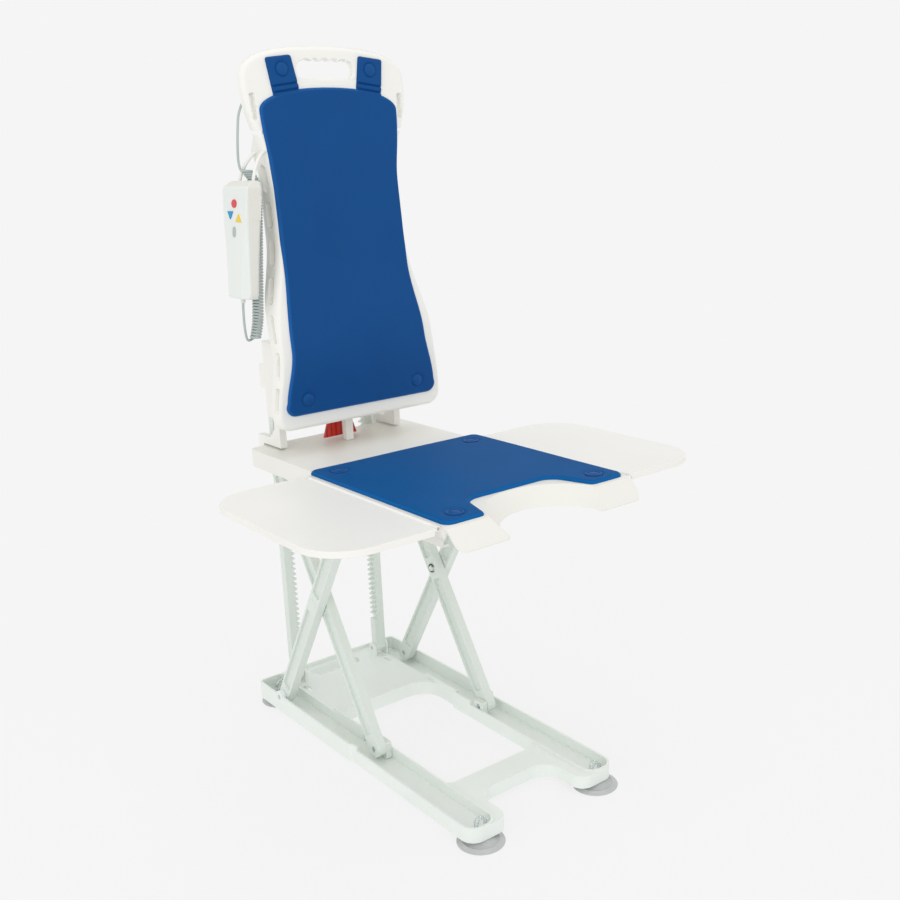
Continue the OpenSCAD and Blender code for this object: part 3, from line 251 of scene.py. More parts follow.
# milky grey with a soft gloss, since light goes a little way in; hazy in spots of 17 mm
cup_pvc, tree, shader, place = new_material("soft grey PVC, moulded")
shader.inputs["Roughness"].default_value = 0.34
shader.inputs["Subsurface Weight"].default_value = 0.15
shader.inputs["Subsurface Radius"].default_value = (0.004, 0.004, 0.004)
haze = add(tree, "ShaderNodeTexNoise", {"Scale": 1000 / 17, "Detail": 3}, {"Vector": place})
tint = add(tree, "ShaderNodeMix", {"A": linear("#C9CBCA"), "B": linear("#B9BCBB")}, {"Factor": haze.outputs["Fac"]},
           data_type="RGBA")
tree.links.new(tint.outputs["Result"], shader.inputs["Base Color"])
cups = new_piece("rubber_cups", *copies(*turned(CUP_PROFILE), CUP_PLACES), cup_pvc)
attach(cups, "base")
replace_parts(cups, "suction_cups")

# The pull loops: clear vinyl strap bent into an arch over each cup's stem, by
# which the cup's edge is lifted to let the air in.
LOOP_HALF, LOOP_LOW, LOOP_HIGH, LOOP_WIDE, LOOP_THICK = 8.5, 16.5, 29, 7.5, 1.5
bend = np.linspace(0, math.pi, 25)
loop_line = np.vstack([[(LOOP_HALF, LOOP_LOW)],
                       np.stack([LOOP_HALF * np.cos(bend), LOOP_HIGH + LOOP_HALF * np.sin(bend)], -1),
                       [(-LOOP_HALF, LOOP_LOW)]])
loop_out = np.stack([np.gradient(loop_line[:, 1]), -np.gradient(loop_line[:, 0])], -1)
loop_out /= np.linalg.norm(loop_out, axis=1, keepdims=True)
section = np.array([(-1, -1), (1, -1), (1, 1), (-1, 1)]) / 2
loop_points = np.stack([
    loop_line[:, None, 0] + LOOP_THICK * section[None, :, 0] * loop_out[:, None, 0],
    np.broadcast_to(LOOP_WIDE * section[None, :, 1], (len(loop_line), 4)),
    loop_line[:, None, 1] + LOOP_THICK * section[None, :, 0] * loop_out[:, None, 1]], -1).reshape(-1, 3)
loop_faces = grid_faces(len(loop_line), 4, True)
# see-through, with a gloss that smears of about 7 mm make uneven
clear_vinyl, tree, shader, place = new_material("clear vinyl strap")
shader.inputs["Base Color"].default_value = linear("#EEF3F4")
shader.inputs["Transmission Weight"].default_value = 0.75
shader.inputs["IOR"].default_value = 1.4
smear = add(tree, "ShaderNodeTexNoise", {"Scale": 1000 / 7, "Detail": 2}, {"Vector": place})
rough = add(tree, "ShaderNodeMapRange", {"To Min": 0.08, "To Max": 0.3}, {"Value": smear.outputs["Fac"]})
tree.links.new(rough.outputs["Result"], shader.inputs["Roughness"])
loops = new_piece("pull_loops", *copies(loop_points, loop_faces, np.add(CUP_PLACES, (0, -1, 0))), clear_vinyl)
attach(loops, "base")
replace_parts(loops, "pull_tabs")

# The racks, legs and shoes: the same pale plastic, each leg a bar with a
# recess along both faces; the shoes slide in the base and under the seat.
# the same satin, a shade greyer from the glass
leg_plastic = moulded("pale green polypropylene, glass filled", "#E3EAE4", "#DCE4DD")
dress(leg_plastic, ["left_rack", "right_rack", "left_outer_leg", "right_outer_leg", "left_inner_leg",
                    "right_inner_leg", "upper_shoes", "lower_shoes", "crossing_pins"])
round_edges(["left_outer_leg", "right_outer_leg", "left_inner_leg", "right_inner_leg"], 0.0018)
round_edges(["upper_shoes", "lower_shoes"], 0.002)
round_edges(["left_rack", "right_rack"], 0.0008, segments=2)


# The pins, screws and clips: bright zinc plated steel, drawn and cut; the
# spring clips at the crossing are blackened.
def metal(name, code, roughness, streak_mm):
    """Bare metal with streaks along X from drawing or turning, drawn coarser than real so that they show."""
    material, tree, shader, place = new_material(name)
    shader.inputs["Base Color"].default_value = linear(code)
    shader.inputs["Metallic"].default_value = 1.0
    along = add(tree, "ShaderNodeMapping", {"Scale": (0.08, 1, 1)}, {"Vector": place})
    streaks = add(tree, "ShaderNodeTexNoise", {"Scale": 1000 / streak_mm, "Detail": 2},
                  {"Vector": along.outputs["Vector"]})
    rough = add(tree, "ShaderNodeMapRange", {"To Min": roughness - 0.1, "To Max": roughness + 0.1},
                {"Value": streaks.outputs["Fac"]})
    tree.links.new(rough.outputs["Result"], shader.inputs["Roughness"])
    return material


# bright grey without a mirror's sharpness, streaked along the rod
zinc = metal("zinc plated steel", "#C9CCCE", 0.36, 0.8)
dress(zinc, ["base_pivot_pins", "rack_axles", "upper_shoe_pins", "lower_shoe_pins", "seat_pivot_pins", "flap_pins",
             "recline_pins", "gear_axles", "lever_pin", "housing_screws", "arm_screws"])
# a clip is a round wire bent to a C and seated on the leg's inner face
CLIP_RADIUS, CLIP_WIRE, CLIP_X, CLIP_OPEN, CLIP_STEPS = 6.9, 0.85, 102.6, 150, 61
clip_low, clip_high = (np.array(corner) * 1000 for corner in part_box("crossing_clips"))
clip_mid = (clip_low + clip_high) / 2
sweep = np.radians(np.r_[-CLIP_OPEN, np.linspace(-CLIP_OPEN, CLIP_OPEN, CLIP_STEPS), CLIP_OPEN])[:, None]
wire = np.radians(np.arange(0, 360, 30))[None]
thick = np.r_[0, np.full(CLIP_STEPS, CLIP_WIRE), 0][:, None]
ring = CLIP_RADIUS + thick * np.cos(wire)
clip_points = np.stack([thick * np.sin(wire), ring * np.cos(sweep), ring * np.sin(sweep)], -1).reshape(-1, 3)
clip_faces = grid_faces(thick.size, wire.size, True)
clip_places = [clip_mid * (0, 1, 1) + (side * CLIP_X, 0, 0) for side in (-1, 1)]
# near black, with a thin light line along the wire
spring_steel = metal("blackened spring steel", "#34383B", 0.42, 0.5)
clips = new_piece("wire_clips", *copies(clip_points, clip_faces, clip_places), spring_steel)
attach(clips, "outer_legs")
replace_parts(clips, "crossing_clips")

# The seat shell and the two side flaps: white polypropylene mouldings with
# soft edges; the flaps hang on steel rods and rest on ribs under the deck.
# a warm white satin; the thick deck looks a shade deeper than the thin mouldings
white_plastic = moulded("white polypropylene, moulded", "#F4F3EE", "#F0EFE9", roughness=0.4)
dress(white_plastic, ["left_flap", "right_flap"])
dress(moulded("white polypropylene, moulded deep", "#EEEDE7", "#EAE9E2", roughness=0.4), ["seat_shell"])
round_edges(["seat_shell"], 0.0022, segments=4)
round_edges(["left_flap", "right_flap"], 0.0016, segments=4)

# The seat cover: 5.5 mm blue closed-cell foam sheet, die cut and pressed thin at
# the edge, held to the deck by four snaps and cut out over the bight.
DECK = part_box("seat_pad")[0].z * 1000
SEAT_EDGE, SEAT_REAR = (corner.y * 1000 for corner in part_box("seat_pad"))
PAD_HALF, PAD_THICK, PAD_CORNER, PAD_SOFT, PAD_CLEAR = 161, 5.5, 14, 5, 0.15
PAD_ROWS, PAD_COLUMNS, RIM_WIDE = 121, 161, 4
NOTCH_DEEP, NOTCH_HALF, NOTCH_CORNER, NOTCH_MOUTH_HALF, NOTCH_MOUTH = 67.5, 77, 28, 97, 9
SNAP_X, SNAP_SINK, SNAP_WELL = 126, 2.2, 15.5
SEAT_SNAPS = np.array([(side * SNAP_X, y) for side in (-1, 1) for y in (SEAT_REAR - 35, SEAT_EDGE + 28)])


def arc(x, y, radius, start, end, count=10):
    """Points of a circle arc from one angle to another, in degrees."""
    angle = np.radians(np.linspace(start, end, count))
    return np.stack([x + radius * np.cos(angle), y + radius * np.sin(angle)], -1)


def even(line, count):
    """The given number of points, evenly spaced along a line of points."""
    run = np.r_[0, np.cumsum(np.linalg.norm(np.diff(line, axis=0), axis=1))]
    return np.stack([np.interp(np.linspace(0, run[-1], count), run, axis) for axis in np.asarray(line).T], -1)


def nearest(points, line):
    """Distance from each point to the nearest point of a dense line."""
    flat = np.asarray(points).reshape(-1, 2)
    gap = [np.sqrt(((part[:, None] - line[None]) ** 2).sum(-1).min(1)) for part in np.array_split(flat, 40)]
    return np.concatenate(gap).reshape(points.shape[:-1])


def pressed(distance, thick, soft):
    """Height of a sheet near its pressed edge: a quarter round of the given width."""
    return thick * np.sqrt(1 - (1 - np.clip(distance / soft, 0, 1)) ** 2)


def end_fine(count, fine):
    """Numbers from 0 to 1 that crowd toward both ends."""
    t = np.linspace(0, 1, count)
    return t - fine * np.sin(2 * math.pi * t) / (2 * math.pi)


def closed_sheet(top, bottom, wrap=False):
    """Points and quads of a sheet from two grids that share their outer edge; wrap closes the columns in a ring."""
    rows, columns = top.shape[:2]
    faces = grid_faces(rows, columns, wrap)
    return np.vstack([top.reshape(-1, 3), bottom.reshape(-1, 3)]), np.vstack([faces, faces[:, ::-1] + rows * columns])


# the notch is a slot with slanted sides: its corners and its mouth are rounded by arcs
slant = math.degrees(math.atan2(NOTCH_MOUTH_HALF - NOTCH_HALF, NOTCH_DEEP))
corner_in = NOTCH_CORNER * math.tan(math.radians(45 - slant / 2))
mouth_in = NOTCH_MOUTH * math.tan(math.radians(45 - slant / 2))
front_half = np.vstack([
    arc(-PAD_HALF + PAD_CORNER, SEAT_EDGE + PAD_CORNER, PAD_CORNER, 180, 270),
    arc(-NOTCH_MOUTH_HALF - mouth_in, SEAT_EDGE + NOTCH_MOUTH, NOTCH_MOUTH, 270, 360 - slant),
    arc(-NOTCH_HALF + corner_in, SEAT_EDGE + NOTCH_DEEP - NOTCH_CORNER, NOTCH_CORNER, 180 - slant, 90, 20),
    [(0, SEAT_EDGE + NOTCH_DEEP)]])
rear_half = np.vstack([
    arc(-PAD_HALF + PAD_CORNER, SEAT_REAR - PAD_CORNER, PAD_CORNER, 180, 90), [(0, SEAT_REAR)]])
mirrored = np.array([-1, 1])
pad_front = even(np.vstack([front_half, front_half[-2::-1] * mirrored]), PAD_COLUMNS)
pad_rear = even(np.vstack([rear_half, rear_half[-2::-1] * mirrored]), PAD_COLUMNS)
pad_edge = even(np.vstack([pad_front, pad_rear[::-1], pad_front[:1]]), 1600)


def crowded(line):
    """The points of a line drawn closer together toward its two ends."""
    spread = (len(line) - 1) * end_fine(len(line), 0.93)
    return np.stack([np.interp(spread, np.arange(len(line)), axis) for axis in line.T], -1)


# columns run from the front edge to the rear edge; rows crowd toward both
t = end_fine(PAD_ROWS, 0.985)[:, None, None]
pad_plan = crowded(pad_front)[None] * (1 - t) + crowded(pad_rear)[None] * t
pad_gap = nearest(pad_plan, pad_edge)
pad_gap[[0, -1]] = 0
pad_gap[:, [0, -1]] = 0
snap_gap = np.linalg.norm(pad_plan[:, :, None] - SEAT_SNAPS, axis=-1).min(-1)
# a slow wave of a fifth of a millimetre, and a well round each snap
wave = 0.22 * np.sin(pad_plan[..., 0] / 31 + 0.6) * np.sin(pad_plan[..., 1] / 43)
well = SNAP_SINK * np.exp(-(snap_gap / SNAP_WELL) ** 6)
pad_lift = pressed(pad_gap, 1, PAD_SOFT) * (PAD_THICK - 0.25 + wave - well)
pad_top = np.dstack([pad_plan, DECK + PAD_CLEAR + pad_lift])
pad_bottom = np.dstack([pad_plan, np.full_like(pad_lift, DECK + PAD_CLEAR)])


def foam(name, code, deep, rim, cell_mm, specular):
    """Closed-cell foam: close tints in clouds of 71 mm over a skin of cells, with a paler tint along the pressed edge
    as a painted highlight where the rounded edge would catch the light.
    """
    material, tree, shader, place = new_material(name)
    clouds = add(tree, "ShaderNodeTexNoise", {"Scale": 1000 / 71, "Detail": 4}, {"Vector": place})
    tint = add(tree, "ShaderNodeMix", {"A": linear(code), "B": linear(deep)}, {"Factor": clouds.outputs["Fac"]},
               data_type="RGBA")
    # painted highlight: the rim colour is mixed in along the cut edge, where the rounded edge would catch the light
    painted_highlight_mask = add(tree, "ShaderNodeAttribute", attribute_name="rim")
    edged = add(tree, "ShaderNodeMix", {"B": linear(rim)},
                {"Factor": painted_highlight_mask.outputs["Fac"], "A": tint.outputs["Result"]}, data_type="RGBA")
    tree.links.new(edged.outputs["Result"], shader.inputs["Base Color"])
    cells = add(tree, "ShaderNodeTexVoronoi", {"Scale": 1000 / cell_mm}, {"Vector": place})
    fine = add(tree, "ShaderNodeTexNoise", {"Scale": 2600 / cell_mm, "Detail": 2}, {"Vector": place})
    both = add(tree, "ShaderNodeMath", {}, {0: cells.outputs["Distance"], 1: fine.outputs["Fac"]}, operation="ADD")
    skin = add(tree, "ShaderNodeBump", {"Strength": 0.3, "Distance": 0.0004}, {"Height": both.outputs["Value"]})
    tree.links.new(skin.outputs["Normal"], shader.inputs["Normal"])
    shader.inputs["Roughness"].default_value = 0.6
    shader.inputs["Specular IOR Level"].default_value = specular
    return material


def mark_painted_highlight(piece, axes, low, edge_line, wide):
    """Stores on each point, as rim, how near it is to the cut edge: 1 there, 0 from the given width inward; it masks
    the painted edge highlight.
    """
    spots = np.empty(3 * len(piece.data.vertices))
    piece.data.vertices.foreach_get("co", spots)
    plan = spots.reshape(-1, 3)[:, axes] * 1000 - (0, low)
    near = np.clip(1 - nearest(plan, edge_line) / wide, 0, 1) ** 0.7
    piece.data.attributes.new("rim", "FLOAT", "POINT").data.foreach_set("value", near)


# an even matt blue, tinted lighter and greener than the back's copy of the same foam as painted reflection of the
# light on the flat pad; its cells are drawn at 2 mm, coarser than real, so that they show at this size
# its last colour is the painted highlight along the cut edge
seat_foam = foam("blue closed-cell foam, pressed for the seat", "#095695", "#08508C", "#0F60A2", 2.0, 0.06)
seat_cushion = new_piece("seat_cushion", *closed_sheet(pad_top, pad_bottom), seat_foam)
mark_painted_highlight(seat_cushion, [0, 1], 0, pad_edge, RIM_WIDE)
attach(seat_cushion, "seat")
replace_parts(seat_cushion, "seat_pad")

# The snap studs of the seat: turned-looking mouldings in blue nylon, a raised
# ring round a shallow dome, pressed through the cover into the deck.
SNAP = [(0, 2.5), (2, 2.45), (4, 2.2), (6, 1.7), (7.4, 1.1), (8.2, 0.75), (8.9, 0.75), (9.4, 1.1), (10, 1.7),
        (10.8, 2.1), (11.6, 2.1), (12.4, 1.6), (12.9, 0.8), (13, -0.2), (13, -2.5), (0, -2.5)]
SNAP_HEIGHT = 3.9
# the blue of the cover with more gloss, so that the rims catch the light
blue_nylon = moulded("blue nylon, moulded", "#0B4F8F", "#0A4A87", 0.9, 0.48, 0.16)
snap_points, snap_faces = turned(SNAP, 56)
snap_places = np.c_[SEAT_SNAPS, np.full(len(SEAT_SNAPS), DECK + SNAP_HEIGHT)]
seat_snaps = new_piece("seat_snaps", *copies(snap_points, snap_faces, snap_places), blue_nylon)
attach(seat_snaps, "seat")
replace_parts(seat_snaps, "seat_studs")

# The drive under the backrest: a white moulded housing on two recline arms, with
# the stop post, motor, worm, nylon gears and board inside it.
dress(white_plastic, ["recline_arms", "back_stop", "drive_housing"])
round_edges(["recline_arms", "back_stop"], 0.0016)
round_edges(["drive_housing"], 0.002)
# seen only through gaps: dull steel, yellow brass, creamy nylon and a dark green board
dress(metal("drawn steel can", "#7B8083", 0.4, 1.5), ["motor"])
dress(metal("machined brass", "#C29A54", 0.3, 0.6), ["worm"])
dress(moulded("natural nylon, moulded", "#EDE7D6", "#E5DECB", 0.8, 0.45), ["left_gear", "right_gear"])
board_mask, tree, shader, place = new_material("green glass-fibre board")
# the cloth in the board shows as a faint grid, drawn at 8 mm and much coarser than real
weave = add(tree, "ShaderNodeTexBrick", {
    "Scale": 1000 / 8, "Mortar Size": 0.03, "Color1": linear("#2C6B4E"), "Color2": linear("#2F7253"),
    "Mortar": linear("#24583F")}, {"Vector": place})
tree.links.new(weave.outputs["Color"], shader.inputs["Base Color"])
shader.inputs["Roughness"].default_value = 0.35
dress(board_mask, ["control_board", "handset_board"])
grey_plastic = moulded("grey nylon, moulded", "#A9B1B1", "#9EA7A7", 0.9, 0.45)
dress(grey_plastic, ["cord_socket", "cord_gland"])

# The release lever: glossy red ABS, a flared paddle under the housing that is
# squeezed to let the backrest off its arms.
# a bright glossy red, with painted shade darkening the valleys between its ribs
red_abs = moulded("red ABS, moulded with finger ribs", "#E2392D", "#D63128", 1.4, 0.3, 0.5)
tree = red_abs.node_tree
RIB_MM = 9
ribs = add(tree, "ShaderNodeTexWave", {"Scale": 2 * math.pi / (20 * RIB_MM / 1000)},
           {"Vector": add(tree, "ShaderNodeTexCoord").outputs["Object"]})
# painted shade: the red is scaled down to half in the valleys between the ribs
valley_shade = add(tree, "ShaderNodeMapRange", {"From Min": 0.0, "From Max": 0.35, "To Min": 0.5, "To Max": 1.0},
             {"Value": ribs.outputs["Fac"]})
shader = tree.nodes["Principled BSDF"]
plain = shader.inputs["Base Color"].links[0].from_socket
shaded = add(tree, "ShaderNodeVectorMath", {}, {0: plain, "Scale": valley_shade.outputs["Result"]}, operation="SCALE")
tree.links.new(shaded.outputs["Vector"], shader.inputs["Base Color"])
dress(red_abs, ["release_lever"])
round_edges(["release_lever"], 0.0012)

# The backrest shell: a white moulding 3.5 mm thick with a broad rounded edge, a
# deep rim, pockets along its sides and a hand hole with finger grooves.
BACK_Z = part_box("back_shell")[0].z * 1000
BACK_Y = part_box("drive_housing")[0].y * 1000 - 17
SEAM, NOTCH_GAP, WALL = 452, 5, 3.5
EDGE_IN, EDGE_BACK, FOOT_X, FOOT_CORNER = 8, 14, 133, 24
CROWN_HALF, CROWN_LOW, CROWN_RISE, CROWN_POWER = 147, 530, 51, 2 / 2.6
SPINE_LOW, SPINE_HIGH, WALL_STEPS = 150, 400, 33
POCKETS, POCKET_HALF, POCKET_DEEP = np.array([50, 105, 161, 218, 275, 332, 387]), 20, 8


def smooth_step(t):
    """3t squared minus 2t cubed, with t held between 0 and 1."""
    t = np.clip(t, 0, 1)
    return t * t * (3 - 2 * t)


def stations(table, h):
    """Values between the stations of a table, eased from each to the next."""
    places, values = np.asarray(table, float).T
    k = np.clip(np.searchsorted(places, h, side="right") - 1, 0, len(places) - 2)
    return values[k] + (values[k + 1] - values[k]) * smooth_step((h - places[k]) / (places[k + 1] - places[k]))


def back_face(h):
    """Y of the shell's front face at a height: a 5 degree lean less a bulge for the lower back."""
    bulge = np.where(np.abs(h - 115) < 180, 14 * np.cos(np.radians(h - 115) / 2) ** 4, 0)
    return BACK_Y + h * math.tan(math.radians(5)) - bulge


def shell_half(h):
    """Half width of the shell at a height."""
    return stations([(30, 157), (130, 147), (300, 118), (380, 117), (521, 147)], h)


def shell_depth(h):
    """Depth of the shell's rim behind its face at a height."""
    return stations([(20, 20), (130, 26), (215, 40), (425, 40), (452, 16), (581, 13)], h)


def edge_drop(distance, inward, back):
    """How far the face falls back near its edge: a quarter ellipse."""
    return back * (1 - np.sqrt(1 - (1 - np.clip(distance / inward, 0, 1)) ** 2))


def in_back(points_xh, behind):
    """Points on the backrest from x, height and distance behind the face."""
    h = points_xh[..., 1]
    return np.stack([points_xh[..., 0], back_face(h) + behind, BACK_Z + h], -1)


rise = np.linspace(30, 526, 120)
crown = np.radians(np.linspace(0, 90, 60))
shell_side = np.vstack([
    [(0, 0)], arc(FOOT_X, FOOT_CORNER, FOOT_CORNER, -90, 0, 16), np.stack([shell_half(rise), rise], -1),
    np.stack([CROWN_HALF * np.cos(crown) ** CROWN_POWER, CROWN_LOW + CROWN_RISE * np.sin(crown) ** CROWN_POWER], -1)])
shell_line = even(shell_side, 900)
shell_line = np.vstack([shell_line, shell_line[-2:0:-1] * mirrored])

# lower part: rows run from the middle line out to the edge, back along the
# wall, round the rim and in again behind; columns follow the outline
low_side = np.vstack([shell_side[shell_side[:, 1] < SEAM], [(float(shell_half(np.array([SEAM]))[0]), SEAM)]])
low_side = even(low_side, 400)
low_line = np.vstack([low_side[::-1], low_side[1:] * mirrored])
spine = np.stack([0 * low_line[:, 0], np.clip(low_line[:, 1], SPINE_LOW, SEAM)], -1)
reach = np.linalg.norm(low_line - spine, axis=1)
toward = (low_line - spine) / reach[:, None]
along = np.gradient(low_line, axis=0)
along /= np.linalg.norm(along, axis=1, keepdims=True)
slant = np.clip(np.abs(toward[:, 0] * along[:, 1] - toward[:, 1] * along[:, 0]), 0.4, 1)
room = reach * slant
depth = shell_depth(low_line[:, 1])
back_by = np.minimum(EDGE_BACK, 0.6 * depth)
ease = np.radians(np.linspace(0, 90, 17))[:, None]
wall_t = np.linspace(0, 1, WALL_STEPS + 1)[1:, None]
rim_d = np.array([0.0, 0.5, 3.0, WALL])[:, None]
rim_w = np.array([0.0, 0.5, 0.5, 0.0])[:, None]
inner = np.linspace(1, 0, 12)[:, None]
front_d = EDGE_IN + (room - EDGE_IN) * inner
row_d = np.vstack([
    front_d[:-1], EDGE_IN * (1 - np.sin(ease)) + 0 * room, 0 * wall_t + 0 * room, rim_d + 0 * room,
    WALL + 0 * wall_t + 0 * room, WALL + (EDGE_IN - WALL) * (1 - np.cos(ease[::4])) + 0 * room, front_d[::-1][1:]])
row_w = np.vstack([
    0 * front_d[:-1], back_by * (1 - np.cos(ease)), back_by + (depth - back_by) * wall_t, depth + rim_w,
    depth + (back_by - depth) * wall_t, WALL + (back_by - WALL) * (1 - np.sin(ease[::4])), WALL + 0 * front_d[1:]])
# pockets: round-ended recesses in the wall, sunk toward the middle
pocket_mid = depth * (0.3 + 0.2 * smooth_step((low_line[:, 1] - 110) / 90)) + 1.4
pocket_wide = np.clip(0.32 * depth - 5.3, 2.8, 7.5)
h_off = np.abs(low_line[:, 1][:, None] - POCKETS).min(1)
h_off = np.where(np.abs(low_line[:, 0]) > 100, h_off, 999)
capsule = np.hypot(np.maximum(h_off - (POCKET_HALF - pocket_wide), 0), row_w - pocket_mid) - pocket_wide
outer_rows = len(front_d) - 1 + len(ease) + len(wall_t)
capsule[outer_rows:] -= WALL
sink = POCKET_DEEP * smooth_step(0.5 - capsule / 1.6)
sink[-len(front_d):] = 0
low_xh = spine + toward * (reach - (row_d + sink) / slant)[..., None]
low_points = in_back(low_xh, row_w)
low_faces = grid_faces(*row_d.shape).tolist()
low_index = np.arange(row_d.size).reshape(row_d.shape)
low_faces += [low_index[:, 0].tolist(), low_index[::-1, -1].tolist()]
shell_lower = new_piece("back_shell_lower", low_points, low_faces, white_plastic)

# upper part: rings from the hand hole out to the edge and back again behind
HOLE_HALF, HOLE_LOW, HOLE_HIGH, HOLE_CORNER, HOLE_MID = 51, 533, 559, 11, 546
HOLE_LIP, HOLE_WALL, FINGER_H, FINGER_RADIUS, FINGER_PITCH = 3, 12, 554, 8, 16.5
SLOT_X, SLOT_H, SLOT_HALF, SLOT_WIDE, SLOT_LEAN, SLOT_DEEP = 132, 492, 19, 3.5, 0.08, 8
x = np.linspace(HOLE_HALF, -HOLE_HALF, 500)
past_flat = np.maximum(np.abs(x) - HOLE_HALF + HOLE_CORNER, 0)
side_fall = HOLE_CORNER - np.sqrt(np.maximum(HOLE_CORNER**2 - past_flat**2, 0))
finger_x = x[:, None] - FINGER_PITCH * np.arange(-2, 3)
fingers = FINGER_H + np.sqrt(np.maximum(FINGER_RADIUS**2 - finger_x**2, 0)).max(1)
hole_top = np.maximum(HOLE_HIGH - side_fall, np.where(fingers > FINGER_H, fingers, 0))
hole_line = np.vstack([np.stack([x, hole_top], -1), np.stack([x, HOLE_LOW + side_fall], -1)[::-1]])
notch_x = float(shell_half(np.array([SEAM + NOTCH_GAP]))[0])
upper_half = shell_side[shell_side[:, 1] > SEAM + NOTCH_GAP]
upper_edge = np.vstack([
    [(0, SEAM), (notch_x - 18, SEAM), (notch_x - 16, SEAM + NOTCH_GAP), (notch_x, SEAM + NOTCH_GAP)], upper_half])
upper_edge = even(np.vstack([upper_edge, upper_edge[-2::-1] * mirrored]), 3000)


def polar(line, angle):
    """Distance from the hole's middle to a line round it, along each angle."""
    way = line - (0, HOLE_MID)
    bearing = np.unwrap(np.arctan2(way[:, 1], way[:, 0]))
    order = np.argsort(bearing)
    return np.interp(angle, bearing[order], np.linalg.norm(way, axis=1)[order], period=2 * math.pi)


hole_walk = even(np.vstack([hole_line, hole_line[:1]]), 721)[:-1]
# more rays where the side slots lie, so that their ends come out round
slot_rays = np.linspace(-0.58, -0.2, 80)
angle = np.sort(np.r_[np.arctan2(hole_walk[:, 1] - HOLE_MID, hole_walk[:, 0]), slot_rays, -math.pi - slot_rays])
hole_r, edge_r = polar(hole_line, angle), polar(upper_edge, angle)
ray = np.stack([np.cos(angle), np.sin(angle)], -1)
edge_gap = nearest((0, HOLE_MID) + ray * edge_r[:, None], shell_line)
upper_depth = np.where(edge_gap < 0.8, shell_depth(HOLE_MID + edge_r * ray[:, 1]), WALL)
lip = np.radians(np.linspace(90, 0, 6))[:, None]
near_edge = np.array([8, 6.5, 5.2, 4, 3, 2.1, 1.3, 0.7, 0.25, 0])[:, None]
outward = np.linspace(0, 1, 66)[:, None]
up_r = np.vstack([
    hole_r + 0 * lip[:1], hole_r + HOLE_LIP * (1 - np.sin(lip)),
    hole_r + HOLE_LIP + (edge_r - hole_r - HOLE_LIP - near_edge[0]) * outward[1:-1], edge_r - near_edge])
up_xh = (0, HOLE_MID) + ray * up_r[..., None]
up_w = edge_drop(nearest(up_xh, shell_line), EDGE_IN, EDGE_IN)
# a long slot sunk into each side margin
slot_gap = np.hypot(np.maximum(np.abs(up_xh[..., 1] - SLOT_H) - SLOT_HALF + SLOT_WIDE, 0),
                    np.abs(up_xh[..., 0]) - SLOT_X - SLOT_LEAN * (up_xh[..., 1] - SLOT_H)) - SLOT_WIDE
up_w += SLOT_DEEP * smooth_step(0.5 - slot_gap / 2.4)
up_w[0] = HOLE_WALL
up_w[1:1 + len(lip)] += HOLE_LIP * (1 - np.cos(lip))
wall_rows = np.linspace(0, 1, 5)[1:, None]
ring_r = np.vstack([
    up_r, edge_r + 0 * wall_rows, edge_r - rim_d[1:], edge_r - WALL, hole_r + 5 + 0 * lip[:2], hole_r + 0 * lip[:1]])
inner_w = np.minimum(upper_depth, WALL + 5)
ring_w = np.vstack([
    up_w, up_w[-1] + (upper_depth - up_w[-1]) * wall_rows, upper_depth + rim_w[1:], inner_w[None],
    WALL + 0 * hole_r[None], HOLE_WALL + 0 * hole_r[None], HOLE_WALL + 0 * hole_r[None]])
ring_xh = (0, HOLE_MID) + ray * ring_r[..., None]
shell_upper = new_piece("back_shell_upper", in_back(ring_xh, ring_w), grid_faces(*ring_r.shape, True), white_plastic)
for part in (shell_lower, shell_upper):
    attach(part, "backrest")
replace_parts(shell_lower, "back_shell")
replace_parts(shell_upper, "back_shell")

# The back cover: the same blue foam, 5 mm, die cut to an hourglass and wrapped
# a little over the shell's rounded sides; four snaps hold it.
COVER_TOP, COVER_RISE, COVER_THICK, COVER_SOFT = 486, 33.5, 5, 5
DOME_SINK, DOME_WELL, LOW_SNAP, STRAP_SNAP = 2.4, 12.6, (105, 48), (79, 546)
COVER_SNAPS = np.array([(side * x, h) for side in (-1, 1) for x, h in (LOW_SNAP, STRAP_SNAP)])
rise = np.linspace(46, COVER_TOP - 4, 80)
cover_side = np.vstack([
    [(0, 24)], arc(127, 40, 16, -90, 0, 12),
    np.stack([stations([(40, 141), (130, 126), (250, 115), (370, 114), (COVER_TOP, 124)], rise), rise], -1),
    np.stack([124 * np.cos(crown) ** 0.87, COVER_TOP + COVER_RISE * np.sin(crown)], -1)])
cover_side = even(cover_side, 240)
cover_line = np.vstack([cover_side, cover_side[-2:0:-1] * mirrored])
spine = np.stack([0 * cover_line[:, 0], np.clip(cover_line[:, 1], SPINE_LOW, SPINE_HIGH)], -1)
cover_dense = even(np.vstack([cover_line, cover_line[:1]]), 2400)
share = np.r_[np.linspace(0, 0.9, 28), 0.93, 0.95, 0.965, 0.975, 0.983, 0.99, 0.995, 0.998, 1][:, None, None]
cover_xh = spine + (cover_line - spine) * share
cover_gap = nearest(cover_xh, cover_dense)
cover_gap[-1] = 0
snap_gap = np.linalg.norm(cover_xh[:, :, None] - COVER_SNAPS[[0, 2]], axis=-1).min(-1)
wave = 0.25 * np.sin(cover_xh[..., 0] / 37 + 0.4) * np.sin(cover_xh[..., 1] / 51)
well = DOME_SINK * np.exp(-(snap_gap / DOME_WELL) ** 8)
lift = pressed(cover_gap, 1, COVER_SOFT) * (COVER_THICK - 0.25 + wave - well)
under = edge_drop(shell_half(cover_xh[..., 1]) - np.abs(cover_xh[..., 0]), EDGE_IN, EDGE_BACK) - PAD_CLEAR
cover_sheet = closed_sheet(in_back(cover_xh, under - lift), in_back(cover_xh, under), True)
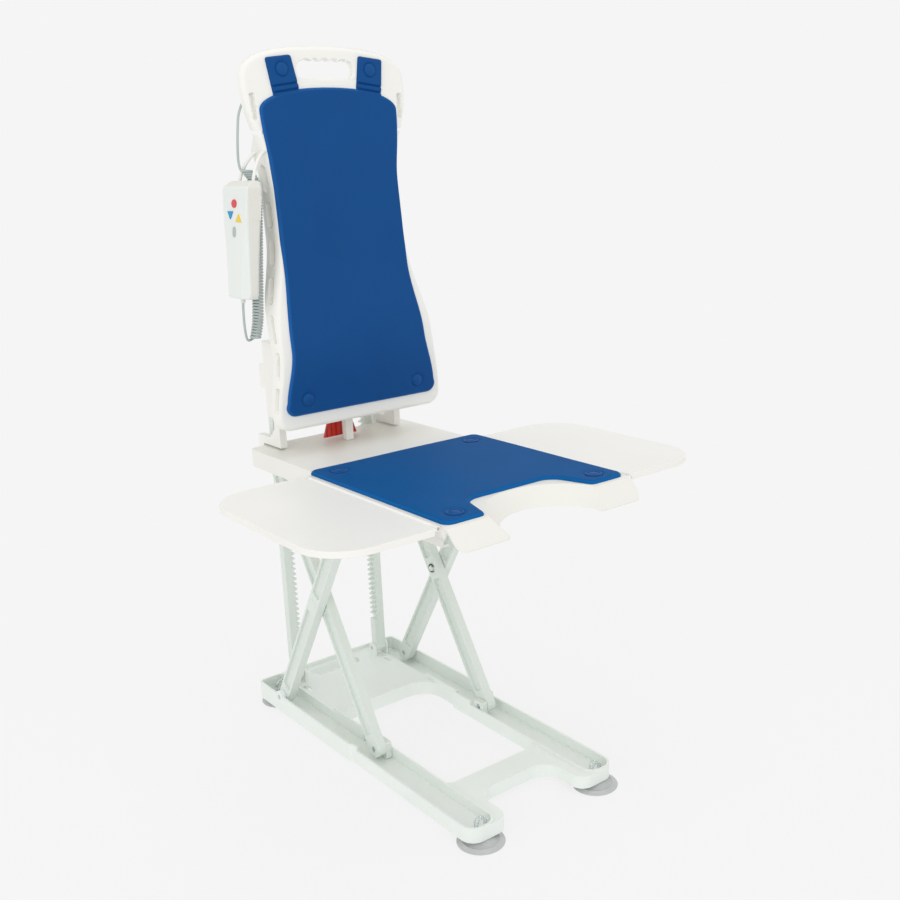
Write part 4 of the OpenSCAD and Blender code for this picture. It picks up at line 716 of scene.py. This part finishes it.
# the same foam as the seat's, a shade deeper since the seat's copy carries painted reflection, with a weak sheen from
# leaning toward the light
# its last colour is the painted highlight along the cut edge
blue_foam = foam("blue closed-cell foam, pressed for the back", "#0C4D8C", "#0A4783", "#195FA6", 2.0, 0.14)
back_cushion = new_piece("back_cushion", *cover_sheet, blue_foam)
mark_painted_highlight(back_cushion, [0, 2], BACK_Z, cover_dense, RIM_WIDE)
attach(back_cushion, "backrest")
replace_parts(back_cushion, "back_cover")

# The two straps of the cover: tabs of the same foam with two creases where they
# leave the cover, each snapped to the shell beside the hand hole.
STRAP = np.array([(49, 503), (96, 496), (105, 562.5), (61, 567.5)], float)
STRAP_WIDE, STRAP_LONG, STRAP_THICK, STRAP_CORNER, STRAP_SOFT = 40, 68, 4.6, 4, 3.5
STRAP_CREASES, CREASE_DEEP, CREASE_WIDE, STRAP_SINK = (16, 25), 3.2, 1.5, 2.2
u, v = np.meshgrid(end_fine(49, 0.9), end_fine(113, 0.8))
across_mm, along_mm = (u - 0.5) * STRAP_WIDE, (v - 0.5) * STRAP_LONG
past = STRAP_CORNER + np.stack([np.abs(across_mm) - STRAP_WIDE / 2, np.abs(along_mm) - STRAP_LONG / 2], -1)
over = np.linalg.norm(np.maximum(past, 0), axis=-1)
pull = np.where((past > 0).all(-1) & (over > STRAP_CORNER), 1 - STRAP_CORNER / np.maximum(over, 1e-9), 0)
across_mm -= np.sign(across_mm) * np.maximum(past[..., 0], 0) * pull
along_mm -= np.sign(along_mm) * np.maximum(past[..., 1], 0) * pull
gap = STRAP_CORNER - np.where((past > 0).all(-1), np.minimum(over, STRAP_CORNER), past.max(-1))
u, v = (across_mm / STRAP_WIDE + 0.5)[..., None], (along_mm / STRAP_LONG + 0.5)[..., None]
strap_xh = (1 - v) * ((1 - u) * STRAP[0] + u * STRAP[1]) + v * ((1 - u) * STRAP[3] + u * STRAP[2])
creases = np.exp(-((STRAP_LONG * v - STRAP_CREASES) / CREASE_WIDE) ** 2).sum(-1)
snap_gap = np.linalg.norm(strap_xh - STRAP_SNAP, axis=-1)
well = STRAP_SINK * np.exp(-(snap_gap / DOME_WELL) ** 8)
lift = pressed(gap, 1, STRAP_SOFT) * (STRAP_THICK - CREASE_DEEP * creases - well)
lift[[0, -1]] = 0
lift[:, [0, -1]] = 0
for name, side in (("right_strap", 1), ("left_strap", -1)):
    flat = strap_xh * (side, 1)
    strap = new_piece(name, *closed_sheet(in_back(flat, -0.1 - lift), in_back(flat, -0.1 + 0 * lift)), blue_foam)
    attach(strap, "backrest")
    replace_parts(strap, "back_cover")

# The snap studs of the back cover: plain domes in the same blue nylon, square to
# the leaning face.
DOME = [(0, 3.8), (2, 3.72), (4, 3.45), (6, 2.95), (8, 2.15), (9.3, 1.3), (10.2, 0.3), (10.6, -0.7),
        (10.6, -2.5), (0, -2.5)]
DOME_PROUD = 3.4
dome_points, dome_faces = turned(DOME, 56)
fall = (back_face(COVER_SNAPS[:, 1] + 5) - back_face(COVER_SNAPS[:, 1] - 5)) / 10
axis = np.stack([0 * fall, -1 + 0 * fall, fall], -1) / np.sqrt(1 + fall**2)[:, None]
sideways = np.stack([0 * fall, axis[:, 2], -axis[:, 1]], -1)
seats = in_back(COVER_SNAPS, -DOME_PROUD + 0 * fall)
turned_out = (dome_points[None, :, :1] * (1, 0, 0) + dome_points[None, :, 1:2] * sideways[:, None]
              + dome_points[None, :, 2:] * axis[:, None] + seats[:, None])
shift = len(dome_points) * np.arange(4)[:, None, None]
cover_snaps = new_piece("cover_snaps", turned_out, (dome_faces[None] + shift).reshape(-1, 4), blue_nylon)
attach(cover_snaps, "backrest")
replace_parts(cover_snaps, "cover_studs")

# The handset case: two white ABS halves that read as one, wide and square at the
# button end, with flats that open toward the slim grip end.
CASE_X, CASE_Y = -167.5, BACK_Y + 52
CASE_LOW, CASE_HIGH, CASE_SHOULDER, CASE_EDGE = DECK + 252, DECK + 428, 164, 1.6
HANG_X, HANG_Z, HANG_TURN = -117, CASE_HIGH + 40, math.radians(5)


def hung(points):
    """Points of the upright handset swung 5 degrees about Y, as it hangs by its hook."""
    x, y, z = np.moveaxis(np.asarray(points, float), -1, 0)
    x, z = x - HANG_X, z - HANG_Z
    return np.stack([HANG_X + x * math.cos(HANG_TURN) + z * math.sin(HANG_TURN), y,
                     HANG_Z - x * math.sin(HANG_TURN) + z * math.cos(HANG_TURN)], -1)


def rounded(corners, radius, steps=5):
    """Loops of corners, each corner turned into an arc: a square-law curve between its two tangent points."""
    before, after = np.roll(corners, 1, axis=1) - corners, np.roll(corners, -1, axis=1) - corners
    start = corners + before * np.minimum(0.45, radius / np.linalg.norm(before, axis=-1))[..., None]
    end = corners + after * np.minimum(0.45, radius / np.linalg.norm(after, axis=-1))[..., None]
    t = np.linspace(0, 1, steps)[:, None]
    bent = (1 - t) ** 2 * start[:, :, None] + 2 * t * (1 - t) * corners[:, :, None] + t**2 * end[:, :, None]
    return bent.reshape(len(corners), -1, 2)


# height from the grip end, half width, front set-back, thickness, width and depth of the front flats
CASE_ROWS = np.array([
    (0.0, 30.5, 2.4, 22.6, 12, 4.0), (0.6, 32.5, 1.0, 23.6, 14, 5.0), (2.2, 34.6, 0.2, 24.0, 16, 6.0),
    (5.5, 35.6, 0.0, 24.4, 17, 6.5), (9.0, 36.0, 0.0, 24.6, 17, 6.5), (50, 36.0, 0.0, 25.4, 13, 5.0),
    (85, 36.4, 0.0, 26.4, 8, 3.2), (108, 37.0, 0.0, 27.2, 2.5, 1.2), (135, 38.6, 0.0, 27.8, 1.5, 0.8),
    (160, 40.6, 0.0, 28.4, 1.5, 0.8), (164, 40.8, 0.2, 28.4, 1.5, 0.8), (166.5, 40.4, 1.4, 28.2, 1.5, 0.8),
    (173, 38.0, 8.4, 27.2, 1.5, 0.8), (175, 36.4, 10.6, 26.4, 1.5, 0.8), (176, 34.1, 12.6, 25.4, 1.5, 0.8)])
steps_z = np.interp(np.linspace(0, len(CASE_ROWS) - 1, 85), np.arange(len(CASE_ROWS)), CASE_ROWS[:, 0])
z, half, front, thick, flat_y, flat_x = (np.interp(steps_z, CASE_ROWS[:, 0], column) for column in CASE_ROWS.T)
corner_x = np.stack([front + flat_x, front, front, front + flat_x, thick - 5, thick, thick, thick - 5], -1)
corner_y = np.stack([half, half - flat_y, flat_y - half, -half, -half, 5 - half, half - 5, half], -1)
loops = rounded(np.stack([corner_x, corner_y], -1), CASE_EDGE)
low_end, high_end = (0 * loops[:1] + loop.mean(0) for loop in (loops[0], loops[-1]))
loops = np.concatenate([low_end, loops, high_end])
z = np.r_[z[0], z, z[-1]]
case_points = np.stack([CASE_X + loops[..., 0], CASE_Y + loops[..., 1], CASE_LOW + z[:, None] + 0 * loops[..., 0]], -1)
# a cool white satin
handset_white = moulded("white ABS, moulded", "#E9EDE9", "#E5E9E5", 0.9, 0.36, 0.45)
# painted shade: the rear half is drawn a shade darker and warmer to stand for the shade on the case's side; it starts
# behind a plane that follows the front edge of the flats
REAR_SLOPE, REAR_FROM = 0.045, 2.2
tree = handset_white.node_tree
rear_way = np.array([math.cos(HANG_TURN) + REAR_SLOPE * math.sin(HANG_TURN), 0,
                     REAR_SLOPE * math.cos(HANG_TURN) - math.sin(HANG_TURN)])
rear_at = hung((CASE_X + REAR_FROM, CASE_Y, CASE_LOW + CASE_SHOULDER)) @ rear_way / 1000
far = add(tree, "ShaderNodeVectorMath", {1: rear_way.tolist()},
          {0: add(tree, "ShaderNodeTexCoord").outputs["Object"]}, operation="DOT_PRODUCT")
rear = add(tree, "ShaderNodeMath", {1: rear_at}, {0: far.outputs["Value"]}, operation="GREATER_THAN")
shader = tree.nodes["Principled BSDF"]
plain = shader.inputs["Base Color"].links[0].from_socket
# the rear colour mixed in here is the painted shade of the case's side
painted_side_shade = add(tree, "ShaderNodeMix", {"B": linear("#E3E2DA")}, {"Factor": rear.outputs["Value"], "A": plain},
             data_type="RGBA")
tree.links.new(painted_side_shade.outputs["Result"], shader.inputs["Base Color"])
handset_case = new_piece("handset_case", hung(case_points), grid_faces(*loops.shape[:2], True), handset_white, 30)
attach(handset_case, "backrest")
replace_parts(handset_case, "handset_front", "handset_back")

# The belt clip on the handset's near side: a thin plate of the same white ABS,
# snapped on, with its edge rounded over.
BELT_X, BELT_LOW, BELT_WIDE, BELT_TALL, BELT_PROUD, BELT_SOFT, BELT_SUNK = 10, 118, 15, 36, 0.9, 0.8, 0.4
u, v = np.meshgrid(np.r_[0, 0.03, np.linspace(0.1, 0.9, 9), 0.97, 1],
                   np.r_[0, 0.02, np.linspace(0.06, 0.94, 15), 0.98, 1])
clip_z = BELT_LOW + BELT_TALL * v
edge = np.minimum(np.minimum(u, 1 - u) * BELT_WIDE, np.minimum(v, 1 - v) * BELT_TALL)
proud = pressed(edge, BELT_PROUD, BELT_SOFT)
clip_y = CASE_Y - np.interp(clip_z, CASE_ROWS[:, 0], CASE_ROWS[:, 1])
clip_base = np.stack([CASE_X + BELT_X + BELT_WIDE * u, clip_y + BELT_SUNK, CASE_LOW + clip_z], -1)
clip_face = clip_base - np.stack([0 * proud, proud, 0 * proud], -1)
handset_clip = new_piece("handset_clip", *closed_sheet(hung(clip_face), hung(clip_base)), handset_white, 30)
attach(handset_clip, "backrest")


# The hook: a bent loop of white nylon rod whose two legs rise from the case and
# turn over into the opening in the shell's side.
def route(points, steps):
    """Cubic spans through the points, each with its neighbours' chord as tangent."""
    given = np.asarray(points, float)
    ends = np.vstack([given[:1], given, given[-1:]])
    a, b, c, d = (ends[k:k + len(given) - 1, None, :] for k in range(4))
    t = np.linspace(0, 1, steps, endpoint=False)[None, :, None]
    spans = 0.5 * (2 * b + (c - a) * t + (2 * a - 5 * b + 4 * c - d) * t**2 + (3 * b - a - 3 * c + d) * t**3)
    return np.vstack([spans.reshape(-1, 3), given[-1:]])


def rod(name, lines, radius, material):
    """Round rods along lines of points in mm, as one curve."""
    curve = bpy.data.curves.new(name, "CURVE")
    curve.dimensions = "3D"
    curve.bevel_depth = radius / 1000
    curve.bevel_resolution = 3
    curve.use_fill_caps = True
    for line in lines:
        strand = curve.splines.new("POLY")
        strand.points.add(len(line) - 1)
        strand.points.foreach_set("co", np.hstack([line / 1000, np.ones((len(line), 1))]).ravel())
        strand.use_smooth = True
    curve.materials.append(material)
    made = bpy.data.objects.new(name, curve)
    bpy.context.scene.collection.objects.link(made)
    return made


HOOK_RADIUS = 2.6
HOOK_LEG = np.array([(-147, 22, -3), (-146, 21.6, 6), (-140.5, 18.5, 22), (-132.5, 15, 36), (-124, 12.5, 43.5),
                     (-115, 11, 42.5), (-109, 9.5, 36), (-107, 9, 27)], float)
legs = [hung(route(HOOK_LEG * (1, side, 1) + (0, CASE_Y, CASE_HIGH), 8)) for side in (-1, 1)]
handset_loop = rod("handset_loop", legs, HOOK_RADIUS, white_plastic)
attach(handset_loop, "backrest")
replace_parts(handset_loop, "handset_hook")

# The controls: three coloured ABS keys and a smoked light pipe, standing a little
# proud of the case; inside it are the board and two wrapped cells.
KEY_PROFILE = np.array([(1, 3), (1, -0.9), (0.985, -1.2), (0.95, -1.42), (0.88, -1.5), (0.5, -1.5), (0, -1.5)])


def key(name, outline, y, z, light, dark, body):
    """A key from its outline in y and z: the outline shrunk and brought forward row by row."""
    shape = KEY_PROFILE[:, None, :1] * outline[None]
    key_x = CASE_X + KEY_PROFILE[:, 1:] + 0 * shape[..., 0]
    points = np.stack([key_x, CASE_Y + y + shape[..., 0], CASE_LOW + z + shape[..., 1]], -1)
    points = np.concatenate([points[:1] * (1, 0, 0) + (0, CASE_Y + y, CASE_LOW + z), points])
    # bright and glossy, one plain colour a key
    plastic = moulded(name.replace("_", " ") + " ABS, moulded", light, dark, 0.8, 0.35, 0.5)
    made = new_piece(name, hung(points), grid_faces(*points.shape[:2], True), plastic, 30)
    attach(made, body)
    return made


KEY_ROUND, KEY_OVAL, KEY_HALF, KEY_TALL, KEY_CORNER, PIPE_HALF, PIPE_ROUND = 6.3, 1.22, 9.0, 6.3, 1.5, 3.6, 4.2
disc = arc(0, 0, KEY_ROUND, 0, 360, 49)[:-1] * (KEY_OVAL, 1)
wedge = rounded(np.array([[(KEY_HALF, KEY_TALL), (0, -KEY_TALL), (-KEY_HALF, KEY_TALL)]], float), KEY_CORNER)[0]
pill = np.vstack([arc(0, PIPE_HALF, PIPE_ROUND, 0, 180, 16), arc(0, -PIPE_HALF, PIPE_ROUND, 180, 360, 16)])
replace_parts(key("stop_key", disc, 0, 142, "#DE3F45", "#D3383F", "stop_button"), "stop_button")
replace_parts(key("down_key", wedge, 12.5, 124.5, "#0894CA", "#078ABD", "down_button"), "down_button")
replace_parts(key("up_key", wedge * (1, -1), -14, 121, "#F3CF3C", "#EAC433", "up_button"), "up_button")
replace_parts(key("light_pipe", pill, 0.5, 100, "#B5BDB6", "#ABB4AD", "backrest"), "indicator_light")
dress(moulded("blue shrink wrap", "#3F6FA8", "#38659B", 1.2, 0.35), ["handset_battery"])

# The handset cord: soft grey PVC, 4 mm, moulded into a curl for most of its
# length; it leaves the drive's socket and ends in the gland under the handset.
CORD_RADIUS, CURLS, CURL_RADIUS, CURL_STEPS = 2.0, 56.75, 7.2, 20
COIL_Y = BACK_Y + 64
# the middle line of the curl: over the top of the case, then down behind it
COIL_LINE = np.array([(-143, 446), (-139, 441), (-133, 433), (-129.5, 417), (-132.5, 364), (-137.5, 306),
                      (-141.5, 256), (-145.5, 216), (-152, 190)], float)
# the plain ends: up behind the shell and over its shoulder, and from the coil's foot to the gland
GLAND_X = CASE_X + 13
cord_up = (0, COIL_Y, DECK) + np.array([
    (-90, 3, 188), (-90, 3, 194), (-92, 3, 220), (-98, 4, 320), (-102, 6, 430), (-106, 6, 505), (-118, 5, 542),
    (-134, 3, 548), (-146, 2, 530), (-150, 3, 505), (-151, 6, 480), (-150.5, 8.5, 462), (-150.2, 6, 450),
    (-150.2, 2, 446.6)])
cord_down = np.vstack([
    (0, COIL_Y, DECK) + np.array([
        (-154, 7, 189), (-159.5, 5.5, 187.5), (-165.5, 1, 190), (-170.5, -5, 200), (-174, -10, 217)]),
    hung([(GLAND_X, CASE_Y, CASE_LOW - 16), (GLAND_X, CASE_Y, CASE_LOW - 4)])])
# from the rear of the first curl to the outer side of the last, so that both ends run on smoothly
turn = np.arange(int(CURL_STEPS * CURLS) + 1) / CURL_STEPS
phase = 2 * math.pi * (turn + 0.5)
middle = even(route(np.insert(COIL_LINE, 1, COIL_Y, axis=1), 20), len(turn)) + (0, 0, DECK)
curl = middle + CURL_RADIUS * np.stack([np.cos(phase), np.sin(phase), 0 * turn], -1)
cord_line = np.vstack([route(cord_up, 8), curl, route(cord_down, 8)])
gland_points, gland_faces = turned([(0, -7), (2.6, -7), (3.2, -6.4), (4.6, 0.5), (4.6, 4), (0, 4)], 32)
gland_points = hung(gland_points + (GLAND_X, CASE_Y, CASE_LOW))
cord_gland = new_piece("strain_relief", gland_points, gland_faces, handset_white)
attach(cord_gland, "backrest")
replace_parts(cord_gland, "cord_gland")
# soft grey with a weak sheen, so that each curl shows a light and a dark side
cord_pvc = moulded("soft grey PVC jacket, extruded", "#B9C4C2", "#AFBBB9", 0.7, 0.42, 0.45)
curly_cord = rod("curly_cord", [cord_line], CORD_RADIUS, cord_pvc)
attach(curly_cord, "backrest")
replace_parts(curly_cord, "handset_cord")
